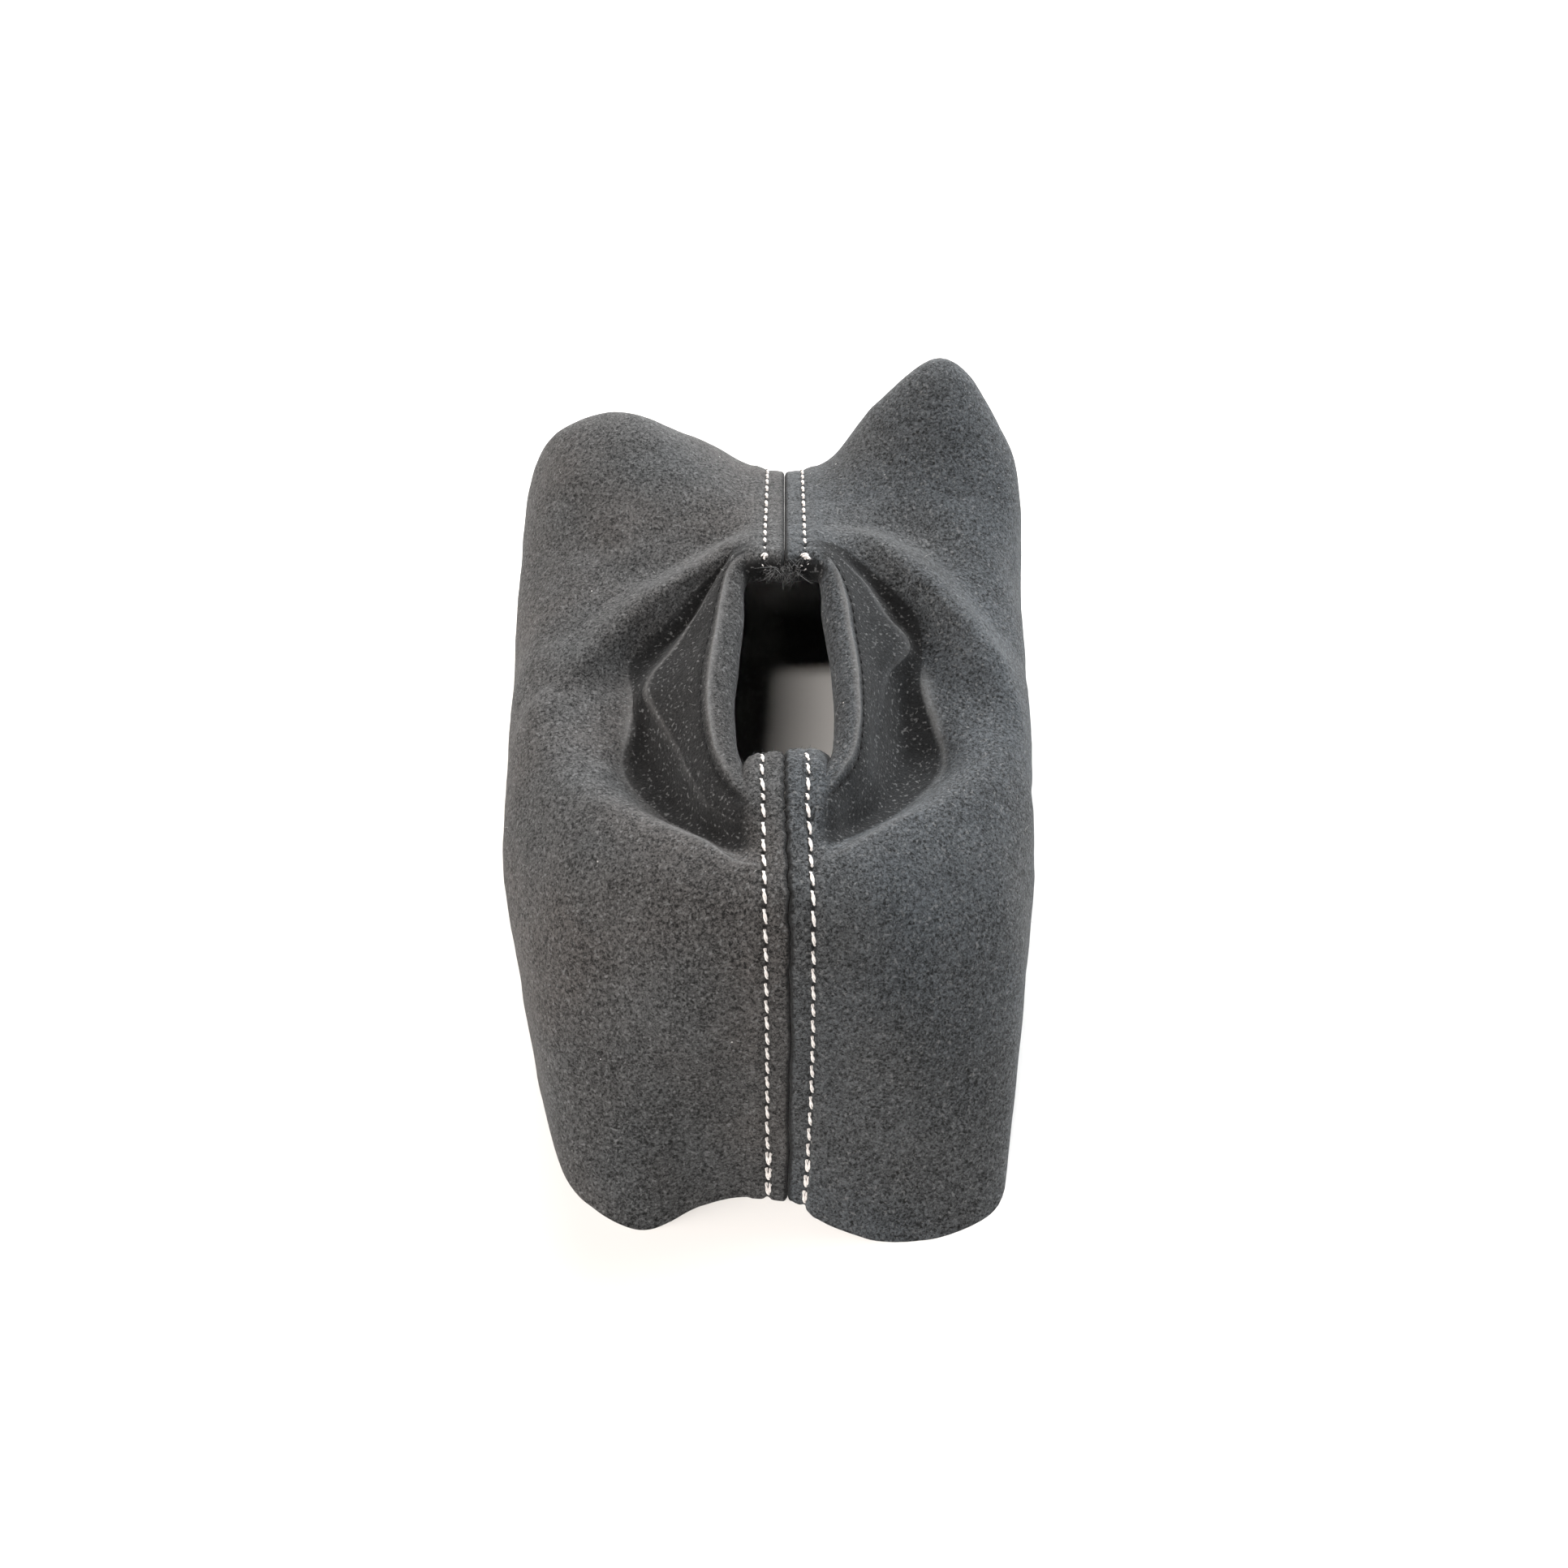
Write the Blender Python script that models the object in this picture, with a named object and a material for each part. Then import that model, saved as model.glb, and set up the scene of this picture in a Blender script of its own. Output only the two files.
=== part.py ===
"""Suede lever gaiter: two leather panels, joined by an opened and topstitched seam at the front and the
rear, with the neck edge turned in as a soft roll. It stands on its raw lower edge, z = 0.
Built in millimetres; finished objects are in metres, +Z up, the front seam towards -Y."""
import math

import bmesh
import bpy
import numpy as np
from mathutils import Vector

MM = 0.001

# ---- driving dimensions, millimetres ----
SKIRT_LENGTH = 225.0      # front to rear over the standing skirt
SKIRT_WIDTH = 133.0       # side to side over the standing skirt
NECK_LENGTH = 71.5        # front to rear between the tops of the neck roll
NECK_WIDTH = 34.0         # side to side between the tops of the neck roll
NECK_HEIGHT = 70.0        # lower edge to the top of the neck roll
LEATHER = 1.0             # thickness of the suede
CLEARANCE = 0.3           # kept between separate pieces
SEAM_ALLOWANCE = 8.0      # width turned back on each side of a seam
ALLOWANCE_GAP = 0.3       # air between a turned-back edge and the panel above it
ROW_OFFSET = 5.0          # topstitch row to the middle of its seam
HEM_DEPTH = 11.5          # from the top of the neck roll to its raw inner edge
HEM_LINE_DEPTH = 2.875    # hem stitching, inside and outside, from the top of the neck roll
HEM_LINE_MARGIN = 1.2     # hem stitching stops this far from the turned-back seam edges
TOPSTITCH_THREAD = 0.8
BOBBIN_THREAD = 0.6
CLOSING_THREAD = 0.4      # lies inside the folds of a seam
HEM_THREAD = 0.5
THREAD_END_GAP = 2.0      # threads stop this far above the lower edge and inside the raw hem

# ---- what follows from them ----
FOLD_RADIUS = LEATHER / 2 + CLEARANCE + CLOSING_THREAD / 2   # middle of the leather round a closing thread
FOLD_CENTRE = CLEARANCE / 2 + LEATHER / 2 + FOLD_RADIUS      # from the middle of the seam
ALLOWANCE_END = CLEARANCE / 2 + LEATHER / 2 + SEAM_ALLOWANCE
BAND_MARGIN = 0.35                                           # stiff band beyond the turned-back edge
BAND = ALLOWANCE_END + BAND_MARGIN                           # half width of the stiff band at a seam

# ---- the shape the leather takes, chosen at the nominal sizes below ----
NOMINAL_LENGTH, NOMINAL_WIDTH = 225.0, 133.0
NOMINAL_NECK_LENGTH, NOMINAL_NECK_WIDTH, NOMINAL_HEIGHT, NOMINAL_BAND = 71.5, 34.0, 70.0, 9.0
# Levels run outward and down: 0 top of the roll, 1 its foot, 2 facet edge, 3 trough, 4 inner fold,
# 5 first ridge, 6 dip, 7 second ridge or shoulder, 8 top of the outer wall, 9 mid wall, 10 lower edge.
TOP, FACET_EDGE, INNER_FOLD, LOWER_EDGE = 0, 2, 4, 10
FRONT_SEAM = [(0, -36.5, 70.3), (0, -40, 70.1), (0, -43, 69.9), (0, -46.5, 69.8), (0, -51, 69.5),
              (0, -57, 68.9), (0, -63, 68.0), (0, -69.5, 64.3), (0, -77.6, 53.4), (0, -90.6, 26.4),
              (0, -106, 0)]
REAR_SEAM = [(0, 35, 70.0), (0, 37, 69.7), (0, 38.5, 69.3), (0, 39.8, 68.8), (0, 41.2, 68.3),
             (0, 43, 67.7), (0, 48.5, 65.5), (0, 55.5, 62.8), (0, 84, 49.5), (0, 98, 27), (0, 102, 0)]
LEFT_SPOKES = [
    [(-9, -37.5, 69.6), (-9, -41.5, 68.9), (-9, -44.3, 67.8), (-9.2, -47.5, 66.2), (-9.4, -51.5, 66.2),
     (-9.5, -56, 68), (-9.5, -62.5, 67.3), (-9.5, -69.5, 63.6), (-9.5, -78, 52.8), (-9.5, -91, 26.2),
     (-9.5, -105.3, 0)],
    [(-12.6, -32, 69.4), (-15, -35.5, 66.8), (-16.3, -38.5, 64.5), (-17.5, -41, 60.5), (-19, -44.5, 60.5),
     (-20, -48, 65.8), (-20, -57, 66.3), (-20, -68, 62), (-20, -78.5, 51), (-20, -92, 26), (-20, -107, 0)],
    [(-15.6, -25, 69.3), (-18.8, -27, 65.3), (-21, -28.5, 62.3), (-25.5, -30.5, 54.5), (-29, -35, 54.5),
     (-33, -41, 63.8), (-34, -51, 63.5), (-35, -63, 58), (-35.5, -76, 46), (-35, -93, 23), (-33, -113, 0)],
    [(-17, -17, 69.3), (-21, -18, 65), (-26, -17, 60.3), (-32, -18.5, 53), (-39.3, -19.2, 54.3),
     (-46, -32.5, 61.5), (-49.5, -42, 59), (-52, -55, 52), (-53.5, -69, 40), (-52.8, -85, 20), (-47.5, -106, 0)],
    [(-17.6, -8, 69.3), (-22, -8.5, 65), (-31, -7, 58.7), (-34, -9.2, 54.5), (-37.6, -9.8, 55.6),
     (-57, -18.5, 58.5), (-61, -27, 54), (-63.6, -39, 46), (-64.6, -50, 36), (-62.4, -64, 18), (-59.5, -80, 0)],
    [(-17, 2, 69.3), (-22, 2, 65), (-34, -0.5, 58.2), (-35, -1.4, 57.2), (-36.5, -2.8, 55.4),
     (-62, -5, 56.5), (-66, -9, 51), (-68.5, -14, 43), (-69, -18, 32), (-68, -24, 15), (-65, -34, 0)],
    [(-15.9, 13, 69.3), (-20, 13.5, 65.2), (-26.5, 12.5, 61.3), (-32, 12.5, 56), (-39, 12.5, 55),
     (-46, 11, 61), (-55, 14, 58.5), (-64, 18, 53), (-70, 22, 42), (-71, 24, 20), (-69, 22, 0)],
    [(-15, 23, 69.3), (-17.8, 24, 66.5), (-20.5, 22.5, 63.8), (-25, 21.5, 58), (-30.5, 21.5, 59.5),
     (-35, 22, 65), (-42, 30, 61), (-50.5, 40, 60.5), (-69, 50, 48), (-72, 55, 22), (-69.5, 55, 0)],
    [(-14, 29, 69.4), (-16, 30.5, 67), (-17, 30, 65.8), (-19, 30.5, 62.3), (-21.5, 31, 63),
     (-24, 31, 66.5), (-28.5, 38, 62), (-34, 43, 63.3), (-62, 89, 60), (-66, 94, 28), (-64, 88, 0)],
    [(-12.8, 32, 69.6), (-14.2, 33.5, 68), (-14.7, 34, 66.8), (-15.5, 34.5, 65.4), (-16.5, 35, 65.6),
     (-17.5, 35.5, 67), (-21, 44, 62.3), (-24, 49.5, 64), (-45, 90, 66), (-50, 103, 32), (-46, 103, 0)],
    [(-11.3, 33.7, 69.8), (-12, 35.8, 68.9), (-12.3, 37, 68.2), (-12.8, 38, 67.5), (-13.2, 38.6, 67.3),
     (-13.5, 39.6, 67.6), (-14.5, 47, 63.5), (-15.5, 53, 64), (-26, 88, 60), (-28, 104, 30), (-27, 104, 0)],
    [(-9, 34.5, 69.9), (-9, 37, 69.5), (-9, 38.3, 69.1), (-9, 39.4, 68.6), (-9.2, 40.5, 68.2),
     (-9.5, 42, 67.8), (-9.5, 48.5, 65), (-9.5, 55, 63.5), (-9.5, 86, 50.5), (-9.5, 99, 27),
     (-9.5, 102.5, 0)]]
RIGHT_SPOKES = [
    [(9, -36.8, 69.6), (9, -41, 68.9), (9, -43.5, 67.8), (9.2, -46, 66.5), (9.4, -49.5, 66.5),
     (9.5, -54, 68), (9.5, -61.5, 67.4), (9.5, -69.5, 63.6), (9.5, -78, 52.8), (9.5, -91.5, 26.2),
     (9.5, -112, 0)],
    [(11.6, -33, 69.4), (13.2, -36, 66.5), (14, -38, 64.3), (15.5, -40.5, 60.5), (17.5, -43, 61),
     (20, -46, 66), (21, -56, 66), (21, -67.5, 61.5), (21, -79, 50), (21, -94, 25), (21, -116, 0)],
    [(15.4, -26, 69.3), (18.5, -27, 65.3), (20, -27.5, 62.3), (24, -29.5, 55), (28.5, -33, 56),
     (33, -37.8, 63.7), (35, -48, 63), (36, -61, 57.5), (37, -76, 45), (37.5, -94, 22), (37.5, -115.5, 0)],
    [(17, -17, 69.3), (19.3, -17.5, 66.2), (20.6, -17.2, 61.6), (28, -18.6, 52), (38.7, -18.4, 54.4),
     (45, -29, 61.2), (49, -39, 58), (51.3, -53, 51), (52.8, -69, 38), (52.2, -87, 18), (49, -109.5, 0)],
    [(17, -6, 69.3), (20, -6, 65.5), (22.5, -4.6, 60.6), (29, -6, 53.2), (36.6, -8, 55.6),
     (53, -19, 58.3), (56.7, -30, 53), (58.3, -42, 44), (58, -54, 33), (55.8, -70, 15), (53, -86, 0)],
    [(16.3, 4, 69.3), (19.6, 4.5, 65.3), (25, 5, 60.3), (29.5, 4, 55.6), (34, 2.8, 57),
     (57, -8, 55.5), (59.3, -14, 50), (60.3, -20, 42), (59.6, -26, 31), (57.6, -33, 14), (55, -44, 0)],
    [(15.4, 12, 69.3), (19, 13, 65.5), (30.5, 13, 59.6), (32, 12.3, 58), (34.2, 10.6, 57),
     (53, 9, 60), (57.5, 10, 54), (61, 12, 46), (62, 14, 34), (61, 16, 15), (59, 14, 0)],
    [(14.3, 22, 69.3), (17.5, 23.5, 66.3), (24.5, 23, 62), (29, 23, 59), (34, 22.5, 60),
     (41, 22, 65), (49.5, 28, 58), (57.2, 34, 54), (62.8, 42, 42), (62.8, 46, 20), (60.5, 46, 0)],
    [(13.1, 28, 69.4), (15.3, 30, 67.2), (19.5, 31, 64.3), (22, 31.5, 62.3), (25, 32.5, 63),
     (30, 36, 66.3), (37, 45, 60), (45, 58, 62), (58.4, 84, 65), (60.2, 88, 32), (59, 84, 0)],
    [(12, 31, 69.6), (13.3, 33, 68), (15.5, 34.5, 66.2), (16.8, 36, 65), (18.5, 38, 65.2),
     (21.5, 44, 66), (26, 52, 60.5), (31, 62, 63), (42, 100, 76.4), (45, 110, 38), (44, 109, 0)],
    [(10.8, 33.2, 69.8), (11.6, 35.2, 68.9), (12.2, 36.8, 68), (12.8, 38.5, 67.3), (13.6, 40.5, 66.8),
     (14.5, 45, 66), (17, 52.5, 62), (20, 60, 61), (25, 94, 65), (27, 108, 33), (27, 108, 0)],
    [(9, 34.2, 69.9), (9, 36.6, 69.4), (9, 37.8, 69), (9, 39.2, 68.6), (9.2, 41, 68),
     (9.5, 44, 67.2), (9.5, 50, 64.6), (9.5, 57, 62.5), (9.5, 87, 49.5), (9.5, 99.5, 27), (9.5, 103, 0)]]
# Radius of the turned-in neck edge at each spoke, front seam to rear seam: the stiff band at the front
# lies nearly flat, and the leather rolls tightest at the rear.
ROLL_RADIUS = [22.0, 21.0, 4.2, 4.6, 5.0, 5.0, 5.0, 5.0, 4.8, 4.4, 4.0, 3.8, 3.7, 3.7]
HEM_STEPS = 4                    # cage levels along the turned-in hem
HEM_LEVEL = -HEM_STEPS * HEM_LINE_DEPTH / HEM_DEPTH   # where it passes the turned-in flap
NEEDLE_LEVEL = 0.5               # where the hem stitching passes the outside of the roll
NECK_FRONT_AIM, NECK_REAR_AIM = -20.0, 18.0   # the roll turns in towards the line between these
# How sharply the roll, the facet edge and the inner fold are creased at each spoke, 0 soft to 1 sharp.
CREST_CREASE = [0, 0, 0.4, 0.7, 0.8, 0.8, 0.8, 0.8, 0.7, 0.5, 0.2, 0, 0, 0]
FACET_CREASE = [0, 0.3, 0.7, 1, 1, 1, 1, 1, 1, 0.9, 0.7, 0.3, 0, 0]
LEFT_FOLD_CREASE = [0, 0, 0.2, 0.6, 1, 1, 1, 0.2, 0, 0, 0, 0, 0, 0]
RIGHT_FOLD_CREASE = [0, 0, 0.2, 0.6, 1, 1, 1, 1, 0, 0, 0, 0, 0, 0]

SUEDE = ("charcoal_suede", (0.040, 0.041, 0.044, 1.0), 0.95)
WHITE_THREAD = ("off_white_thread", (0.80, 0.76, 0.74, 1.0), 0.6)
BLACK_THREAD = ("black_thread", (0.012, 0.012, 0.013, 1.0), 0.7)


def shaped_cage(side):
    """The cage of one panel as (spoke, level, xyz): the hem levels first, then the levels 0 to 10."""
    spokes = LEFT_SPOKES if side < 0 else RIGHT_SPOKES
    cage = np.array([FRONT_SEAM] + spokes + [REAR_SEAM], float)
    share = np.linspace(0.0, 1.0, LOWER_EDGE + 1)
    neck = (NECK_WIDTH / 2 - BAND) / (NOMINAL_NECK_WIDTH / 2 - NOMINAL_BAND)
    skirt = (SKIRT_WIDTH / 2 - BAND) / (NOMINAL_WIDTH / 2 - NOMINAL_BAND)
    wide = neck * (1 - share) + skirt * share
    long = NECK_LENGTH / NOMINAL_NECK_LENGTH * (1 - share) + SKIRT_LENGTH / NOMINAL_LENGTH * share
    reach = np.abs(cage[1:-1, :, 0]) - NOMINAL_BAND
    cage[1:-1, :, 0] = side * (BAND + reach * wide)
    cage[:, :, 1] *= long
    cage[:, :, 2] *= NECK_HEIGHT / NOMINAL_HEIGHT
    top = cage[:, TOP]
    radius = np.array(ROLL_RADIUS)
    aim = np.clip(top[:, 1], NECK_FRONT_AIM, NECK_REAR_AIM)
    inward = np.column_stack([-top[:, 0], aim - top[:, 1]])
    inward /= np.linalg.norm(inward, axis=1, keepdims=True)
    most = np.clip((np.abs(top[:, 0]) - BAND) / radius, 0.0, 1.0)
    inward[:, 0] = -side * np.minimum(np.abs(inward[:, 0]), most)
    inward[:, 1] = np.sign(inward[:, 1]) * np.sqrt(1 - inward[:, 0] ** 2)
    hem = []
    for step in range(HEM_STEPS, 0, -1):
        turn = HEM_DEPTH * step / HEM_STEPS / radius
        reach = radius * np.sin(turn)
        drop = radius * (1 - np.cos(turn))
        hem.append(np.column_stack([top[:, :2] + inward * reach[:, None], top[:, 2] - drop]))
    return np.concatenate([np.stack(hem, axis=1), cage], axis=1)


def velocities(points, sharp):
    """Unit-speed directions before and after each point of curves stored along axis 0."""
    step = np.diff(points, axis=0)
    length = np.linalg.norm(step, axis=-1, keepdims=True)
    chord = step / length
    before, after = chord[:-1], chord[1:]
    smooth = (before * length[1:] + after * length[:-1]) / (length[1:] + length[:-1])
    smooth = np.concatenate([chord[:1], smooth, chord[-1:]])
    into = smooth.copy()
    out = smooth.copy()
    into[1:] += (chord - into[1:]) * sharp[1:]
    out[:-1] += (chord - out[:-1]) * sharp[:-1]
    return into, out, length


def hermite(a, b, leave, arrive, t):
    """A cubic from a to b; leave and arrive are its derivatives at the two ends."""
    return ((1 + 2 * t) * (1 - t) ** 2 * a + t * (1 - t) ** 2 * leave
            + t * t * (3 - 2 * t) * b + t * t * (t - 1) * arrive)


class Panel:
    """The middle surface of one leather panel, read at (spoke, level) positions."""

    def __init__(self, side):
        self.side = side
        self.cage = shaped_cage(side)
        count = len(self.cage)
        into, out, length = velocities(self.cage, np.zeros((count, 1, 1)))
        across = np.array([side, 0.0, 0.0])
        out[0] = across
        into[-1] = -across
        self.into, self.out, self.length = into, out, length
        levels = self.cage.shape[1]
        self.crease = np.zeros((count, levels))
        self.crease[:, HEM_STEPS + FACET_EDGE] = FACET_CREASE
        self.crease[:, HEM_STEPS + TOP] = CREST_CREASE
        self.crease[:, HEM_STEPS + INNER_FOLD] = LEFT_FOLD_CREASE if side < 0 else RIGHT_FOLD_CREASE

    def points(self, spoke, level):
        spoke = np.clip(np.asarray(spoke, float).ravel(), 0.0, len(self.cage) - 1)
        level = np.clip(np.asarray(level, float).ravel() + HEM_STEPS, 0.0, self.cage.shape[1] - 1)
        i = np.minimum(spoke.astype(int), len(self.cage) - 2)
        t = (spoke - i)[:, None, None]
        line = hermite(self.cage[i], self.cage[i + 1], self.out[i] * self.length[i],
                       self.into[i + 1] * self.length[i], t)
        sharp = self.crease[i] * (1 - t[..., 0]) + self.crease[i + 1] * t[..., 0]
        into, out, length = velocities(line.swapaxes(0, 1), sharp.T[..., None])
        j = np.minimum(level.astype(int), self.cage.shape[1] - 2)
        row = np.arange(len(j))
        line = line.swapaxes(0, 1)
        u = (level - j)[:, None]
        return hermite(line[j, row], line[j + 1, row], out[j, row] * length[j, row],
                       into[j + 1, row] * length[j, row], u)

    def normals(self, spoke, level):
        """Unit normals on the outer, napped side of the leather."""
        step = 0.02
        spoke = np.asarray(spoke, float)
        level = np.asarray(level, float)
        along = self.points(spoke + step, level) - self.points(spoke - step, level)
        down = self.points(spoke, level + step) - self.points(spoke, level - step)
        normal = np.cross(along, down) * -self.side
        return normal / np.linalg.norm(normal, axis=1, keepdims=True)

    def spoke_at(self, reach, level, front):
        """The spoke position that lies at a distance from the front or the rear seam."""
        last = len(self.cage) - 1
        ends = [0, 1, 2] if front else [last, last - 1, last - 2]
        seam, edge, beyond = (self.points(np.full_like(level, k), level) for k in ends)
        band = np.linalg.norm(edge - seam, axis=1)
        outside = np.linalg.norm(beyond - edge, axis=1)
        position = np.where(reach < band, reach / band, 1 + (reach - band) / outside)
        return position if front else last - position

    def offset(self, reach, level, height, front):
        """Points at a distance from a seam and a height above the middle of the leather.
        Up to the fold's centre they are square to the seam itself, so that the fold stays true."""
        level = np.asarray(level, float)
        if reach <= FOLD_CENTRE:
            spoke = np.full_like(level, 0.0 if front else len(self.cage) - 1)
            across = np.array([self.side * reach, 0.0, 0.0])
            return self.points(spoke, level) + across + self.seam_normals(spoke, level) * height
        spoke = self.spoke_at(np.full_like(level, reach), level, front)
        return self.points(spoke, level) + self.normals(spoke, level) * height

    def seam_normals(self, spoke, level):
        """Unit normals of the seam line, which lies in the plane x = 0."""
        step = 0.02
        down = self.points(spoke, level + step) - self.points(spoke, level - step)
        normal = np.cross(np.array([1.0, 0.0, 0.0]), down)
        if spoke[0] == 0:
            normal = -normal
        return normal / np.linalg.norm(normal, axis=1, keepdims=True)


def seam_section():
    """The section of a seam edge: middle (reach, height) and outward direction, raw edge first."""
    tucked = -(LEATHER + ALLOWANCE_GAP)
    easing = (FOLD_CENTRE + ROW_OFFSET) / 2
    section = [((ALLOWANCE_END, tucked), (0, -1)), ((ROW_OFFSET, tucked), (0, -1)),
               ((easing, (tucked - 2 * FOLD_RADIUS) / 2), (-0.2, -0.98))]
    for angle in (-90, -135, 180, 135, 90):
        across, up = math.cos(math.radians(angle)), math.sin(math.radians(angle))
        section.append(((FOLD_CENTRE + FOLD_RADIUS * across, FOLD_RADIUS * (up - 1)), (across, up)))
    return section


def panel_levels():
    """The levels modelled, from the raw hem to the lower edge."""
    return np.array([-HEM_STEPS, -3, -2, HEM_LEVEL, 0, NEEDLE_LEVEL, 1, 2, 3, 4, 5, 5.5, 6, 6.5, 7, 7.5, 8, 8.5,
                     9, 9.5, LOWER_EDGE], float)


def panel_spokes(panel):
    """The spoke positions modelled between the two seam bands."""
    return np.arange(1.0, len(panel.cage) - 1.75, 0.5)


def panel_columns(panel, levels, face):
    """Points of one face of a panel, column by column. face is +1 for the nap side, -1 for the flesh side.
    Each column runs on straight from its last step to the plane z = 0, where the leather is cut."""
    columns = []
    flat = [(FOLD_CENTRE + ROW_OFFSET) / 2, ROW_OFFSET]
    for (reach, height), (across, up) in seam_section():
        columns.append(panel.offset(reach + across * face * LEATHER / 2, levels,
                                    height + up * face * LEATHER / 2, True))
    for reach in flat:
        columns.append(panel.offset(reach, levels, face * LEATHER / 2, True))
    for spoke in panel_spokes(panel):
        at = np.full_like(levels, spoke)
        columns.append(panel.points(at, levels) + panel.normals(at, levels) * face * LEATHER / 2)
    for reach in reversed(flat):
        columns.append(panel.offset(reach, levels, face * LEATHER / 2, False))
    for (reach, height), (across, up) in reversed(seam_section()):
        columns.append(panel.offset(reach + across * face * LEATHER / 2, levels,
                                    height + up * face * LEATHER / 2, False))
    grid = np.stack(columns)
    above, last = grid[:, -2], grid[:, -1]
    grid[:, -1] = above + (last - above) * (above[:, 2:] / (above[:, 2:] - last[:, 2:]))
    grid[:, -1, 2] = 0.0
    return grid


def panel_mesh(panel, name):
    """One closed leather panel: nap side, flesh side and the cut edges between them."""
    levels = panel_levels()
    faces = [panel_columns(panel, levels, side) for side in (1, -1)]
    columns, rows = faces[0].shape[:2]
    mesh = bmesh.new()
    sheets = [[[mesh.verts.new(point) for point in column] for column in grid] for grid in faces]
    nap, flesh = sheets
    for i in range(columns - 1):
        for j in range(rows - 1):
            mesh.faces.new((nap[i][j], nap[i + 1][j], nap[i + 1][j + 1], nap[i][j + 1]))
            mesh.faces.new((flesh[i][j], flesh[i][j + 1], flesh[i + 1][j + 1], flesh[i + 1][j]))
        mesh.faces.new((nap[i][0], flesh[i][0], flesh[i + 1][0], nap[i + 1][0]))
        mesh.faces.new((nap[i][-1], nap[i + 1][-1], flesh[i + 1][-1], flesh[i][-1]))
    for j in range(rows - 1):
        mesh.faces.new((nap[0][j], nap[0][j + 1], flesh[0][j + 1], flesh[0][j]))
        mesh.faces.new((nap[-1][j], flesh[-1][j], flesh[-1][j + 1], nap[-1][j + 1]))
    if panel.side > 0:
        bmesh.ops.reverse_faces(mesh, faces=mesh.faces[:])
    bmesh.ops.triangulate(mesh, faces=mesh.faces[:])
    data = bpy.data.meshes.new(name)
    mesh.to_mesh(data)
    mesh.free()
    return data


def make_material(look):
    name, colour, roughness = look
    material = bpy.data.materials.get(name) or bpy.data.materials.new(name)
    material.use_nodes = True
    shader = material.node_tree.nodes["Principled BSDF"]
    shader.inputs["Base Color"].default_value = colour
    shader.inputs["Roughness"].default_value = roughness
    shader.inputs["Metallic"].default_value = 0.0
    return material


def add_panel(panel, name, shift):
    data = panel_mesh(panel, name)
    thing = bpy.data.objects.new(name, data)
    for vertex in data.vertices:
        vertex.co = (vertex.co + shift) * MM
    data.shade_smooth()
    data.set_sharp_from_angle(angle=math.radians(40))
    data.materials.append(make_material(SUEDE))
    bpy.context.collection.objects.link(thing)
    return thing


def add_thread(name, path, diameter, look, shift, sides):
    """A thread as a round tube with closed ends along a path."""
    curve = bpy.data.curves.new(name, "CURVE")
    curve.dimensions = "3D"
    curve.bevel_depth = diameter / 2 * MM
    curve.bevel_resolution = sides
    curve.use_fill_caps = True
    spline = curve.splines.new("POLY")
    spline.points.add(len(path) - 1)
    for point, place in zip(spline.points, path):
        point.co = (*((np.array(place) + np.array(shift)) * MM), 1.0)
    curve.materials.append(make_material(look))
    thing = bpy.data.objects.new(name, curve)
    bpy.context.collection.objects.link(thing)
    return thing


def clipped(path, start, end):
    """A path of straight steps with a length cut off at each end."""
    run = np.concatenate([[0.0], np.cumsum(np.linalg.norm(np.diff(path, axis=0), axis=1))])
    inside = run[(run > start + 0.2) & (run < run[-1] - end - 0.2)]
    keep = np.concatenate([[start], inside, [run[-1] - end]])
    return np.column_stack([np.interp(keep, run, path[:, k]) for k in range(3)])


def seam_run(panel, reach, height, front):
    """The path of a thread along a seam, from inside the raw hem to just above the lower edge."""
    path = panel.offset(reach, panel_levels(), height, front)
    return clipped(path, THREAD_END_GAP, THREAD_END_GAP)


def hem_run(panel, level, height):
    """The path of the hem stitching on one panel, from the front seam to the rear seam."""
    start = np.array([ALLOWANCE_END + HEM_LINE_MARGIN])
    first = panel.spoke_at(start, np.array([level]), True)[0]
    last = panel.spoke_at(start, np.array([level]), False)[0]
    between = [spoke for spoke in panel_spokes(panel) if first + 0.1 < spoke < last - 0.1]
    spokes = np.array([first] + between + [last])
    levels = np.full(len(spokes), level)
    return panel.points(spokes, levels) + panel.normals(spokes, levels) * height


def bounds_shift(panels):
    """The move that puts the middle of the skirt's lower edge box at the origin."""
    levels = np.linspace(-HEM_STEPS, LOWER_EDGE, 60)
    points = np.concatenate([panel_columns(panel, levels, 1).reshape(-1, 3) for panel in panels])
    middle = (points.min(axis=0) + points.max(axis=0)) / 2
    return np.array([-middle[0], -middle[1], 0.0])


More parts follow.
